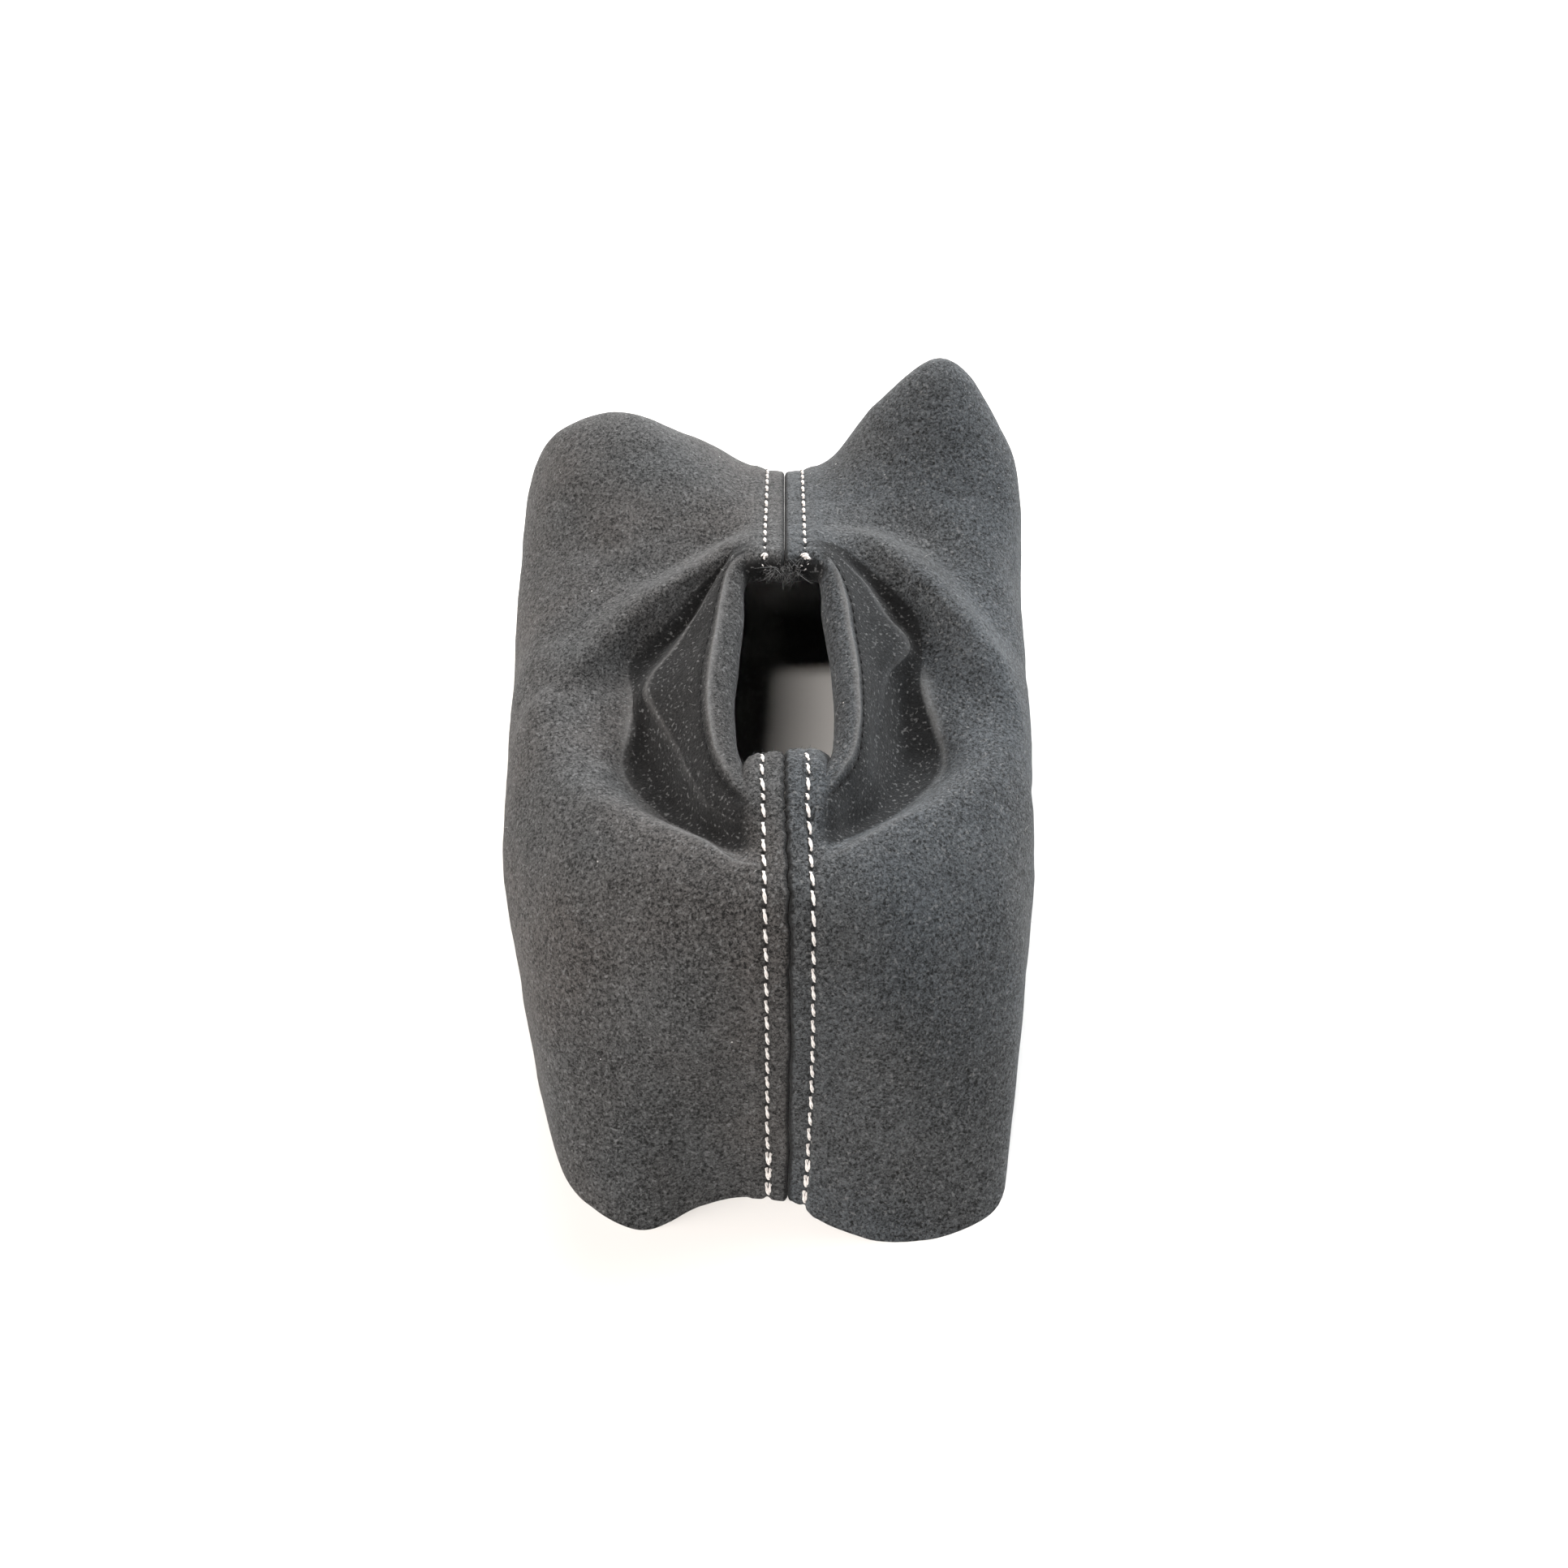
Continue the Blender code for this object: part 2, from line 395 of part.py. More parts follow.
def build():
    for thing in list(bpy.data.objects):
        bpy.data.objects.remove(thing)
    panels = {"left": Panel(-1), "right": Panel(1)}
    shift = bounds_shift(panels.values())
    above = LEATHER / 2 + CLEARANCE
    below = LEATHER + ALLOWANCE_GAP + LEATHER / 2 + CLEARANCE
    for hand, panel in panels.items():
        add_panel(panel, hand + "_panel", Vector(shift))
        for end in ("front", "rear"):
            front = end == "front"
            path = seam_run(panel, ROW_OFFSET, above + TOPSTITCH_THREAD / 2, front)
            add_thread(end + "_" + hand + "_topstitch", path, TOPSTITCH_THREAD, WHITE_THREAD, shift, 1)
            path = seam_run(panel, ROW_OFFSET, -below - BOBBIN_THREAD / 2, front)
            add_thread(end + "_" + hand + "_bobbin_thread", path, BOBBIN_THREAD, WHITE_THREAD, shift, 1)
            path = seam_run(panel, FOLD_CENTRE, -FOLD_RADIUS, front)
            kind = "_closing_needle_thread" if hand == "left" else "_closing_bobbin_thread"
            add_thread(end + kind, path, CLOSING_THREAD, BLACK_THREAD, shift, 0)
        path = hem_run(panel, NEEDLE_LEVEL, above + HEM_THREAD / 2)
        add_thread(hand + "_hem_needle_thread", path, HEM_THREAD, BLACK_THREAD, shift, 1)
        path = hem_run(panel, HEM_LEVEL, -above - HEM_THREAD / 2)
        add_thread(hand + "_hem_bobbin_thread", path, HEM_THREAD, BLACK_THREAD, shift, 1)


build()
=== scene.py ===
"""The looks of the suede lever gaiter: two napped panels, the stitches that hold them and loose fibres.
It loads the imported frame, in metres with +Z up. Lengths are in millimetres until a mesh is made."""
import math

import bpy
import numpy as np
from mathutils import Matrix, Vector, noise


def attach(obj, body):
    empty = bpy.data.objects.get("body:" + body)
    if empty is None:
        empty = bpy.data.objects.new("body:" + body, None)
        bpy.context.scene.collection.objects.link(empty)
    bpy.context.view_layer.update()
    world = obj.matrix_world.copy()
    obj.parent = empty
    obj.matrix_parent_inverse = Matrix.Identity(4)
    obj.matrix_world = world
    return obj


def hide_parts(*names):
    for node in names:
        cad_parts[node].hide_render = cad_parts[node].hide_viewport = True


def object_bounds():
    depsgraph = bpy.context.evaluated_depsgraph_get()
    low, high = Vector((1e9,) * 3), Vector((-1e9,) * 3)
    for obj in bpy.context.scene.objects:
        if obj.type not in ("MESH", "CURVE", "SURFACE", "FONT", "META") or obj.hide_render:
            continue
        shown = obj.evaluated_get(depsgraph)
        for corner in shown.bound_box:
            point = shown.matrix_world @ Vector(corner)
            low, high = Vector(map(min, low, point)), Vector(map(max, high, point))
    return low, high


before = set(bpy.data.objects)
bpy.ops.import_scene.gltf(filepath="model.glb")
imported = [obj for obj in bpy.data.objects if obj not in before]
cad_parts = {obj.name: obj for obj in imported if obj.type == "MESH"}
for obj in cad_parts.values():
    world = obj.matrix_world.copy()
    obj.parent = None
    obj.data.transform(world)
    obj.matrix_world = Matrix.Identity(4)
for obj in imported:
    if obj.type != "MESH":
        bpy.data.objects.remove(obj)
CAD_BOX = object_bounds()

# ---- leather, seams and threads, millimetres ----
MM = 0.001
LEATHER = 1.0              # thickness of the suede
SEAM_GAP = 0.05            # from the middle of a seam to the leather on each side
FOLD_RADIUS = 0.62         # middle of the leather round the fold at a seam
FOLD_CENTRE = SEAM_GAP + LEATHER / 2 + FOLD_RADIUS
ALLOWANCE = 8.6            # the turned-back edge ends this far from the seam
TUCKED = 1.2               # depth of the turned-back layer's middle below the panel's middle
BAND = 9.0                 # half width of the stiff band at a seam
BAND_RISE = 0.4            # the doubled leather stands this much above the single leather
ROW_REACH = 5.0            # topstitch row to its seam
CHANNEL = 0.28             # depth the thread pulls the leather down
CHANNEL_WIDTH = 0.9
DIP = 0.12                 # shallower dip on both sides of the channel
DIP_WIDTH = 2.4
SEAM_DIP = 0.25            # depth the leather sinks towards the fold of a seam
SEAM_DIP_WIDTH = 0.9
FRONT_PUCKER = 0.04        # height of the puckers between needle holes
REAR_PUCKER = 0.03
REAR_NECK_PUCKER = 0.13    # more at the rear seam beside the neck
PUCKER_WIDTH = 2.6
SEAM_LEAN = 0.25           # how far the gap of a seam leans to one side as it goes down
RIDGE = 0.3                # height of a crisp fold line above the leather beside it
PITCH = 4.3                # topstitch length
HEM_PITCH = 3.2
CREST_STITCH = 0.55        # share of the pitch that the stitch over the roll's crest has
LAST_HOLE = 0.25           # from the last needle hole of a row to the lower edge
DIMPLE = 0.45              # depth of the dimple round a needle hole
DIMPLE_WIDTH = 0.62
STITCH_GAP = 0.7           # leather showing between one stitch and the next
REAR_STITCH_GAP = 1.5
HEM_STEP = 2.875           # depth of one cage step of the turned-in hem, from the top of the roll
HEM_LINE_OUT = 0.5         # cage level of the hem stitching outside the roll
HEM_LINE_IN = -1.0         # cage level of the hem stitching inside the roll
HEM_LINE_DEPTH = 0.35      # depth the hem stitching pulls the leather down
TOPSTITCH_THREAD = 0.85
BOBBIN_THREAD = 0.6
HEM_THREAD = 0.5
CLOSING_THREAD = 0.4
OPEN_WALL = 22.0           # from here on, away from a seam, the leather waves freely
# Waves of the leather as height and size across, with the height added low on the wall or in the folds.
BROAD_WAVE, BROAD_WALL = (0.55, 24.0), 0.35
MIDDLE_WAVE = (0.30, 11.0)
WRINKLE, FOLD_WRINKLE = (0.05, 4.5), 0.11
FINE_WRINKLE = (0.035, 1.9)

# ---- how fine the panels' meshes are, millimetres ----
OPEN_START = 2.2           # where a seam's folded edge ends and the open part begins
BAND_PLACES = [OPEN_START, 4.2, 5.8, 8.5]
BAND_SPACING = [0.45, 0.3, 0.3, 0.6]
SPOKE_SPACING = 1.5
LEVEL_SPACING = 1.1
REAR_FIBRES, FRINGE_FIBRES, LINT_FIBRES = 90, 420, 60

# ---- the shape the leather takes: levels run outward and down from the top of the neck roll ----
FACET_EDGE, INNER_FOLD, FRONT_RIDGE, LOWER_EDGE = 2, 4, 5, 10
HEM_STEPS = 6
RAW_EDGE = -4.0            # cage level at which the hem is cut, before it is cut unevenly
# Each list has the points of the levels 0 to 10. The spokes of a panel run from the front to the rear.
FRONT_SEAM = [(0, -36.5, 70.3), (0, -40, 70.1), (0, -43, 69.9), (0, -46.5, 69.8), (0, -51, 69.5),
              (0, -57, 68.9), (0, -63, 68.0), (0, -69.5, 64.3), (0, -77.6, 53.4), (0, -90.6, 26.4),
              (0, -106, 0)]
REAR_SEAM = [(0, 35, 70.0), (0, 37, 69.7), (0, 38.5, 69.3), (0, 39.8, 68.8), (0, 41.2, 68.3),
             (0, 43, 67.7), (0, 48.5, 65.5), (0, 55.5, 62.8), (0, 84, 49.5), (0, 98, 27), (0, 102, 0)]
LEFT_SPOKES = [
    [(-9, -37.5, 69.6), (-9, -41.5, 68.9), (-9, -44.3, 67.8), (-9.2, -47.5, 66.2), (-9.4, -51.5, 66.2),
     (-9.5, -56, 68), (-9.5, -62.5, 67.3), (-9.5, -69.5, 63.6), (-9.5, -78, 52.8), (-9.5, -91, 26.2),
     (-9.5, -105.3, 0)],
    [(-12.6, -32, 69.4), (-15, -35.5, 66.8), (-16.3, -38.5, 64.5), (-17.5, -41, 60.5), (-19, -44.5, 60.5),
     (-20, -48, 65.8), (-20, -57, 66.3), (-20, -68, 62), (-20, -78.5, 51), (-20, -92, 26), (-20, -107, 0)],
    [(-15.6, -25, 69.3), (-18.8, -27, 65.3), (-21, -28.5, 62.3), (-25.5, -30.5, 54.5), (-29, -35, 54.5),
     (-33, -41, 63.8), (-34, -51, 63.5), (-35, -63, 58), (-35.5, -76, 46), (-35, -93, 23), (-33, -113, 0)],
    [(-17, -17, 69.3), (-21, -18, 65), (-26, -17, 60.3), (-32, -18.5, 53), (-39.3, -19.2, 54.3),
     (-46, -32.5, 61.5), (-49.5, -42, 59), (-52, -55, 52), (-53.5, -69, 40), (-52.8, -85, 20),
     (-47.5, -106, 0)],
    [(-17.6, -8, 69.3), (-22, -8.5, 65), (-31, -7, 58.7), (-34, -9.2, 54.5), (-37.6, -9.8, 55.6),
     (-57, -18.5, 58.5), (-61, -27, 54), (-63.6, -39, 46), (-64.6, -50, 36), (-62.4, -64, 18),
     (-59.5, -80, 0)],
    [(-17, 2, 69.3), (-22, 2, 65), (-34, -0.5, 58.2), (-35, -1.4, 57.2), (-36.5, -2.8, 55.4),
     (-62, -5, 56.5), (-66, -9, 51), (-68.5, -14, 43), (-69, -18, 32), (-68, -24, 15), (-65, -34, 0)],
    [(-15.9, 13, 69.3), (-20, 13.5, 65.2), (-26.5, 12.5, 61.3), (-32, 12.5, 56), (-39, 12.5, 55),
     (-46, 11, 61), (-55, 14, 58.5), (-64, 18, 53), (-70, 22, 42), (-71, 24, 20), (-69, 22, 0)],
    [(-15, 23, 69.3), (-17.8, 24, 66.5), (-20.5, 22.5, 63.8), (-25, 21.5, 58), (-30.5, 21.5, 59.5),
     (-35, 22, 65), (-42, 30, 61), (-50.5, 40, 60.5), (-69, 50, 48), (-72, 55, 22), (-69.5, 55, 0)],
    [(-14, 29, 69.4), (-16, 30.5, 67), (-17, 30, 65.8), (-19, 30.5, 62.3), (-21.5, 31, 63),
     (-24, 31, 66.5), (-28.5, 38, 62), (-34, 43, 63.3), (-62, 89, 60), (-66, 94, 28), (-64, 88, 0)],
    [(-12.8, 32, 69.6), (-14.2, 33.5, 68), (-14.7, 34, 66.8), (-15.5, 34.5, 65.4), (-16.5, 35, 65.6),
     (-17.5, 35.5, 67), (-21, 44, 62.3), (-24, 49.5, 64), (-45, 90, 66), (-50, 103, 32), (-46, 103, 0)],
    [(-11.3, 33.7, 69.8), (-12, 35.8, 68.9), (-12.3, 37, 68.2), (-12.8, 38, 67.5), (-13.2, 38.6, 67.3),
     (-13.5, 39.6, 67.6), (-14.5, 47, 63.5), (-15.5, 53, 64), (-26, 88, 60), (-28, 104, 30), (-27, 104, 0)],
    [(-9, 34.5, 69.9), (-9, 37, 69.5), (-9, 38.3, 69.1), (-9, 39.4, 68.6), (-9.2, 40.5, 68.2),
     (-9.5, 42, 67.8), (-9.5, 48.5, 65), (-9.5, 55, 63.5), (-9.5, 86, 50.5), (-9.5, 99, 27),
     (-9.5, 102.5, 0)]]
RIGHT_SPOKES = [
    [(9, -36.8, 69.6), (9, -41, 68.9), (9, -43.5, 67.8), (9.2, -46, 66.5), (9.4, -49.5, 66.5),
     (9.5, -54, 68), (9.5, -61.5, 67.4), (9.5, -69.5, 63.6), (9.5, -78, 52.8), (9.5, -91.5, 26.2),
     (9.5, -112, 0)],
    [(11.6, -33, 69.4), (13.2, -36, 66.5), (14, -38, 64.3), (15.5, -40.5, 60.5), (17.5, -43, 61),
     (20, -46, 66), (21, -56, 66), (21, -67.5, 61.5), (21, -79, 50), (21, -94, 25), (21, -116, 0)],
    [(15.4, -26, 69.3), (18.5, -27, 65.3), (20, -27.5, 62.3), (24, -29.5, 55), (28.5, -33, 56),
     (33, -37.8, 63.7), (35, -48, 63), (36, -61, 57.5), (37, -76, 45), (37.5, -94, 22), (37.5, -115.5, 0)],
    [(17, -17, 69.3), (19.3, -17.5, 66.2), (20.6, -17.2, 61.6), (28, -18.6, 52), (38.7, -18.4, 54.4),
     (45, -29, 61.2), (49, -39, 58), (51.3, -53, 51), (52.8, -69, 38), (52.2, -87, 18), (49, -109.5, 0)],
    [(17, -6, 69.3), (20, -6, 65.5), (22.5, -4.6, 60.6), (29, -6, 53.2), (36.6, -8, 55.6),
     (53, -19, 58.3), (56.7, -30, 53), (58.3, -42, 44), (58, -54, 33), (55.8, -70, 15), (53, -86, 0)],
    [(16.3, 4, 69.3), (19.6, 4.5, 65.3), (25, 5, 60.3), (29.5, 4, 55.6), (34, 2.8, 57),
     (57, -8, 55.5), (59.3, -14, 50), (60.3, -20, 42), (59.6, -26, 31), (57.6, -33, 14), (55, -44, 0)],
    [(15.4, 12, 69.3), (19, 13, 65.5), (30.5, 13, 59.6), (32, 12.3, 58), (34.2, 10.6, 57),
     (53, 9, 60), (57.5, 10, 54), (61, 12, 46), (62, 14, 34), (61, 16, 15), (59, 14, 0)],
    [(14.3, 22, 69.3), (17.5, 23.5, 66.3), (24.5, 23, 62), (29, 23, 59), (34, 22.5, 60),
     (41, 22, 65), (49.5, 28, 58), (57.2, 34, 54), (62.8, 42, 42), (62.8, 46, 20), (60.5, 46, 0)],
    [(13.1, 28, 69.4), (15.3, 30, 67.2), (19.5, 31, 64.3), (22, 31.5, 62.3), (25, 32.5, 63),
     (30, 36, 66.3), (37, 45, 60), (45, 58, 62), (58.4, 84, 65), (60.2, 88, 32), (59, 84, 0)],
    [(12, 31, 69.6), (13.3, 33, 68), (15.5, 34.5, 66.2), (16.8, 36, 65), (18.5, 38, 65.2),
     (21.5, 44, 66), (26, 52, 60.5), (31, 62, 63), (42, 100, 76.4), (45, 110, 38), (44, 109, 0)],
    [(10.8, 33.2, 69.8), (11.6, 35.2, 68.9), (12.2, 36.8, 68), (12.8, 38.5, 67.3), (13.6, 40.5, 66.8),
     (14.5, 45, 66), (17, 52.5, 62), (20, 60, 61), (25, 94, 65), (27, 108, 33), (27, 108, 0)],
    [(9, 34.2, 69.9), (9, 36.6, 69.4), (9, 37.8, 69), (9, 39.2, 68.6), (9.2, 41, 68),
     (9.5, 44, 67.2), (9.5, 50, 64.6), (9.5, 57, 62.5), (9.5, 87, 49.5), (9.5, 99.5, 27), (9.5, 103, 0)]]
# Radius of the neck roll by spoke, and the stretch of the neck's middle line that its hem turns towards.
ROLL_RADIUS = [22.0, 21.0, 4.2, 4.6, 5.0, 5.0, 5.0, 5.0, 4.8, 4.4, 4.0, 3.8, 3.7, 3.7]
NECK_FRONT_AIM, NECK_REAR_AIM = -20.0, 18.0
# How crisp each fold line is, by spoke.
CREST_CREASE = [0, 0, 0.4, 0.7, 0.8, 0.8, 0.8, 0.8, 0.7, 0.5, 0.2, 0, 0, 0]
FACET_CREASE = [0, 0.3, 0.7, 1, 1, 1, 1, 1, 1, 0.9, 0.7, 0.3, 0, 0]
LEFT_FOLD_CREASE = [0, 0, 0.2, 0.6, 1, 1, 1, 0.2, 0, 0, 0, 0, 0, 0]
RIGHT_FOLD_CREASE = [0, 0, 0.2, 0.6, 1, 1, 1, 1, 0, 0, 0, 0, 0, 0]
# How pale each fold line is painted, by spoke, partly rubbed nap and partly painted highlight: the roll's
# crest, the facet's edge, the fold outside it.
CREST_RUB_HIGHLIGHT = [0, 0, 0.4, 0.7, 0.9, 1, 1, 1, 1, 0.8, 0.5, 0.2, 0, 0]
LEFT_EDGE_RUB_HIGHLIGHT = [0, 0.1, 0.3, 0.5, 0.6, 0.8, 1, 1, 0.9, 0.8, 0.6, 0.3, 0, 0]
RIGHT_EDGE_RUB_HIGHLIGHT = [0, 0.1, 0.1, 0.1, 0.15, 0.3, 0.7, 1, 1, 1, 0.9, 0.5, 0, 0]
FOLD_RUB_HIGHLIGHT = [0, 0, 0, 0.1, 0.7, 1, 0.9, 0, 0, 0, 0, 0, 0, 0]
LEFT_RIDGE_RUB_HIGHLIGHT = [0, 0.6, 0.7, 0.2, 0, 0, 0, 0, 0, 0, 0, 0, 0, 0]
RIGHT_RIDGE_RUB_HIGHLIGHT = [0, 0.2, 0.3, 0.1, 0, 0, 0, 0, 0, 0, 0, 0, 0, 0]

# Seams aren't quite straight: sideways sway of the front seam by level, to the right.
SWAY_LEVELS = [-4, 0, 3, 6, 8, 9, 10]
FRONT_SWAY = [0.0, 0.0, 0.3, 0.9, 1.2, 1.2, 0.6]
# Painted shade round the fold of a seam, from the turned-back raw edge to the top: how dark the nap there
# is painted.
GROOVE_SHADE = [0.5, 0.5, 0.6, 0.8, 1.0, 1.0, 1.0, 1.0, 1.0, 1.0, 0.75, 0.3, 0.05]
# Painted shade by level: how dark the nap is painted on the facets and in the folds round the neck.
SHADE_LEVELS = [-4, -2, -0.8, -0.2, 0.15, 0.35, 0.7, 2, 2.3, 3.85, 4.05, 4.5]
SHADE = [0.6, 0.4, 0.3, 0.1, 0.3, 0.75, 0.87, 0.87, 0.95, 0.92, 0.2, 0.0]
# How far the raw edge of the hem reaches past the cut, in levels, near the front seam.
HEM_LONGER_SPOKES = [0, 0.5, 0.9, 1.3, 1.8, 2.4]
LEFT_HEM_LONGER = [0.7, 0.3, -0.1, -0.5, -0.6, 0.0]
RIGHT_HEM_LONGER = [0.7, 0.95, 1.5, 1.9, 1.9, 0.6]
# Reach of the front topstitch rows by level: they draw in a little towards both ends.
FRONT_ROW_REACH = [4.6, 4.7, 4.9, 5.2, 5.2, 5.1, 4.7]


def shaped_cage(side):
    """The cage of one panel as (spoke, level, xyz): the hem levels first, then the levels 0 to 10."""
    spokes = LEFT_SPOKES if side < 0 else RIGHT_SPOKES
    cage = np.array([FRONT_SEAM] + spokes + [REAR_SEAM], float)
    top = cage[:, 0]
    radius = np.array(ROLL_RADIUS)
    aim = np.clip(top[:, 1], NECK_FRONT_AIM, NECK_REAR_AIM)
    inward = np.column_stack([-top[:, 0], aim - top[:, 1]])
    inward /= np.linalg.norm(inward, axis=1, keepdims=True)
    most = np.clip((np.abs(top[:, 0]) - BAND) / radius, 0.0, 1.0)
    inward[:, 0] = -side * np.minimum(np.abs(inward[:, 0]), most)
    inward[:, 1] = np.sign(inward[:, 1]) * np.sqrt(1 - inward[:, 0] ** 2)
    hem = []
    for step in range(HEM_STEPS, 0, -1):
        turn = HEM_STEP * step / radius
        reach = radius * np.sin(turn)
        drop = radius * (1 - np.cos(turn))
        hem.append(np.column_stack([top[:, :2] + inward * reach[:, None], top[:, 2] - drop]))
    return np.concatenate([np.stack(hem, axis=1), cage], axis=1)


def velocities(points, sharp):
    """Unit-speed directions before and after each point of curves stored along axis 0."""
    step = np.diff(points, axis=0)
    length = np.linalg.norm(step, axis=-1, keepdims=True)
    chord = step / length
    before, after = chord[:-1], chord[1:]
    smooth = (before * length[1:] + after * length[:-1]) / (length[1:] + length[:-1])
    smooth = np.concatenate([chord[:1], smooth, chord[-1:]])
    into = smooth.copy()
    out = smooth.copy()
    into[1:] += (chord - into[1:]) * sharp[1:]
    out[:-1] += (chord - out[:-1]) * sharp[:-1]
    return into, out, length


def hermite(a, b, leave, arrive, t):
    """A cubic from a to b; leave and arrive are its derivatives at the two ends."""
    return ((1 + 2 * t) * (1 - t) ** 2 * a + t * (1 - t) ** 2 * leave
            + t * t * (3 - 2 * t) * b + t * t * (t - 1) * arrive)


def ease(low, high, value):
    """0 below low, 1 above high, and a smooth step between them."""
    t = np.clip((value - low) / (high - low), 0.0, 1.0)
    return t * t * (3 - 2 * t)


def ripple(points, size, seed):
    """Smooth noise from -1 to 1 with features about size millimetres across."""
    flat = points.reshape(-1, 3) / size + np.array([seed * 17.3, seed * 5.1, -seed * 11.7])
    values = np.array([noise.noise(Vector(place)) for place in flat])
    return values.reshape(points.shape[:-1])


class Panel:
    """The middle surface of one leather panel, read at (spoke, level) positions."""

    def __init__(self, side):
        self.side = side
        self.cage = shaped_cage(side)
        count = len(self.cage)
        self.last = count - 1
        into, out, length = velocities(self.cage, np.zeros((count, 1, 1)))
        across = np.array([side, 0.0, 0.0])
        out[0] = across
        into[-1] = -across
        self.into, self.out, self.length = into, out, length
        self.crease = np.zeros((count, self.cage.shape[1]))
        self.crease[:, HEM_STEPS + FACET_EDGE] = FACET_CREASE
        self.crease[:, HEM_STEPS] = CREST_CREASE
        self.crease[:, HEM_STEPS + INNER_FOLD] = LEFT_FOLD_CREASE if side < 0 else RIGHT_FOLD_CREASE

    def points(self, spoke, level):
        spoke, level = np.broadcast_arrays(np.asarray(spoke, float), np.asarray(level, float))
        shape = spoke.shape
        spoke = np.clip(spoke.ravel(), 0.0, self.last)
        level = np.clip(level.ravel() + HEM_STEPS, 0.0, self.cage.shape[1] - 1)
        i = np.minimum(spoke.astype(int), self.last - 1)
        t = (spoke - i)[:, None, None]
        line = hermite(self.cage[i], self.cage[i + 1], self.out[i] * self.length[i],
                       self.into[i + 1] * self.length[i], t)
        sharp = self.crease[i] * (1 - t[..., 0]) + self.crease[i + 1] * t[..., 0]
        line = line.swapaxes(0, 1)
        into, out, length = velocities(line, sharp.T[..., None])
        j = np.minimum(level.astype(int), self.cage.shape[1] - 2)
        row = np.arange(len(j))
        u = (level - j)[:, None]
        found = hermite(line[j, row], line[j + 1, row], out[j, row] * length[j, row],
                        into[j + 1, row] * length[j, row], u)
        return found.reshape(shape + (3,))

    def normals(self, spoke, level, step=0.02):
        """Unit normals on the outer, napped side of the leather."""
        along = self.points(spoke + step, level) - self.points(spoke - step, level)
        down = self.points(spoke, level + step) - self.points(spoke, level - step)
        normal = np.cross(along, down) * -self.side
        return normal / np.linalg.norm(normal, axis=-1, keepdims=True)

    def seam_normals(self, level, front, step=0.02):
        """Unit normals of the seam line, which lies in the plane x = 0."""
        spoke = 0.0 if front else float(self.last)
        down = self.points(spoke, level + step) - self.points(spoke, level - step)
        normal = np.cross(np.array([-1.0 if front else 1.0, 0.0, 0.0]), down)
        return normal / np.linalg.norm(normal, axis=-1, keepdims=True)

    def spoke_at(self, reach, level, front):
        """The spoke position that lies at a distance from the front or the rear seam."""
        ends = [0, 1, 2] if front else [self.last, self.last - 1, self.last - 2]
        seam, edge, beyond = (self.points(float(k), level) for k in ends)
        band = np.linalg.norm(edge - seam, axis=-1)
        outside = np.linalg.norm(beyond - edge, axis=-1)
        position = np.where(reach < band, reach / band, 1 + (reach - band) / outside)
        return position if front else self.last - position


def seam_run(panel, level, front):
    """Distance along a topstitch row from the cage's first hem level, at each level."""
    fine = np.linspace(-HEM_STEPS, LOWER_EDGE, 600)
    path = panel.points(panel.spoke_at(ROW_REACH, fine, front), fine)
    run = np.concatenate([[0.0], np.cumsum(np.linalg.norm(np.diff(path, axis=0), axis=1))])
    return np.interp(level, fine, run)


def level_at(panel, run, front):
    """The level at each distance along a topstitch row."""
    fine = np.linspace(-HEM_STEPS, LOWER_EDGE, 600)
    return np.interp(run, seam_run(panel, fine, front), fine)


def bell(offset, width):
    """1 in the middle and fading to nothing about two widths away on both sides."""
    return np.exp(-(offset / width) ** 2)


def hem_line(level, to_front, to_rear, width):
    """1 along the hem stitching outside the roll, and 0 away from it and on the bands at the seams."""
    return bell(level - HEM_LINE_OUT, width) * ease(8, 11, to_front) * ease(8, 11, to_rear)


def relief(panel, points, level, to_front, to_rear):
    """How far the leather stands above its smooth shape, in millimetres."""
    height = np.zeros(level.shape)
    for front, reach in ((True, to_front), (False, to_rear)):
        height += BAND_RISE * (1 - ease(ALLOWANCE - 0.6, ALLOWANCE + 1.3, reach))
        row = np.interp(level, SWAY_LEVELS, FRONT_ROW_REACH) if front else ROW_REACH
        height -= CHANNEL * bell(reach - row, CHANNEL_WIDTH)
        height -= DIP * bell(reach - row, DIP_WIDTH)
        run = seam_run(panel, level, front)
        pucker = FRONT_PUCKER if front else REAR_NECK_PUCKER * (1 - ease(3, 8, level)) + REAR_PUCKER
        height += pucker * bell(reach - row, PUCKER_WIDTH) * np.cos(2 * math.pi * run / PITCH)
        height -= SEAM_DIP * bell(reach, SEAM_DIP_WIDTH)
    open_wall = ease(BAND, OPEN_WALL, np.minimum(to_front, to_rear))
    wall = ease(6, 8.5, level)
    folds = ease(0.8, 2.5, level) * (1 - ease(7, 9, level))
    waves = ((BROAD_WAVE, BROAD_WALL * wall, open_wall, 1), (MIDDLE_WAVE, 0.0, open_wall, 4),
             (WRINKLE, FOLD_WRINKLE * folds, 1.0, 7), (FINE_WRINKLE, 0.0, 1.0, 9))
    for (low, size), more, where, seed in waves:
        height += where * (low + more) * ripple(points, size, seed + panel.side)
    height -= HEM_LINE_DEPTH * hem_line(level, to_front, to_rear, 0.14)
    return height


def sway(level, to_front):
    """How far the leather near the front seam lies to the right."""
    wobble = 0.22 * np.sin(level * 5.3 + 0.8) + 0.12 * np.sin(level * 12.7)
    return np.interp(level, SWAY_LEVELS, FRONT_SWAY) * bell(to_front, 26) + wobble * bell(to_front, 4)


def spread(low, high, spacing, at):
    """Positions from low to high whose steps follow the wanted spacing at each place."""
    fine = np.linspace(low, high, 4000)
    density = 1 / np.interp(fine, at, spacing)
    total = np.concatenate([[0.0], np.cumsum((density[1:] + density[:-1]) / 2 * np.diff(fine))])
    count = int(math.ceil(total[-1]))
    return np.interp(np.linspace(0, total[-1], count + 1), total, fine)


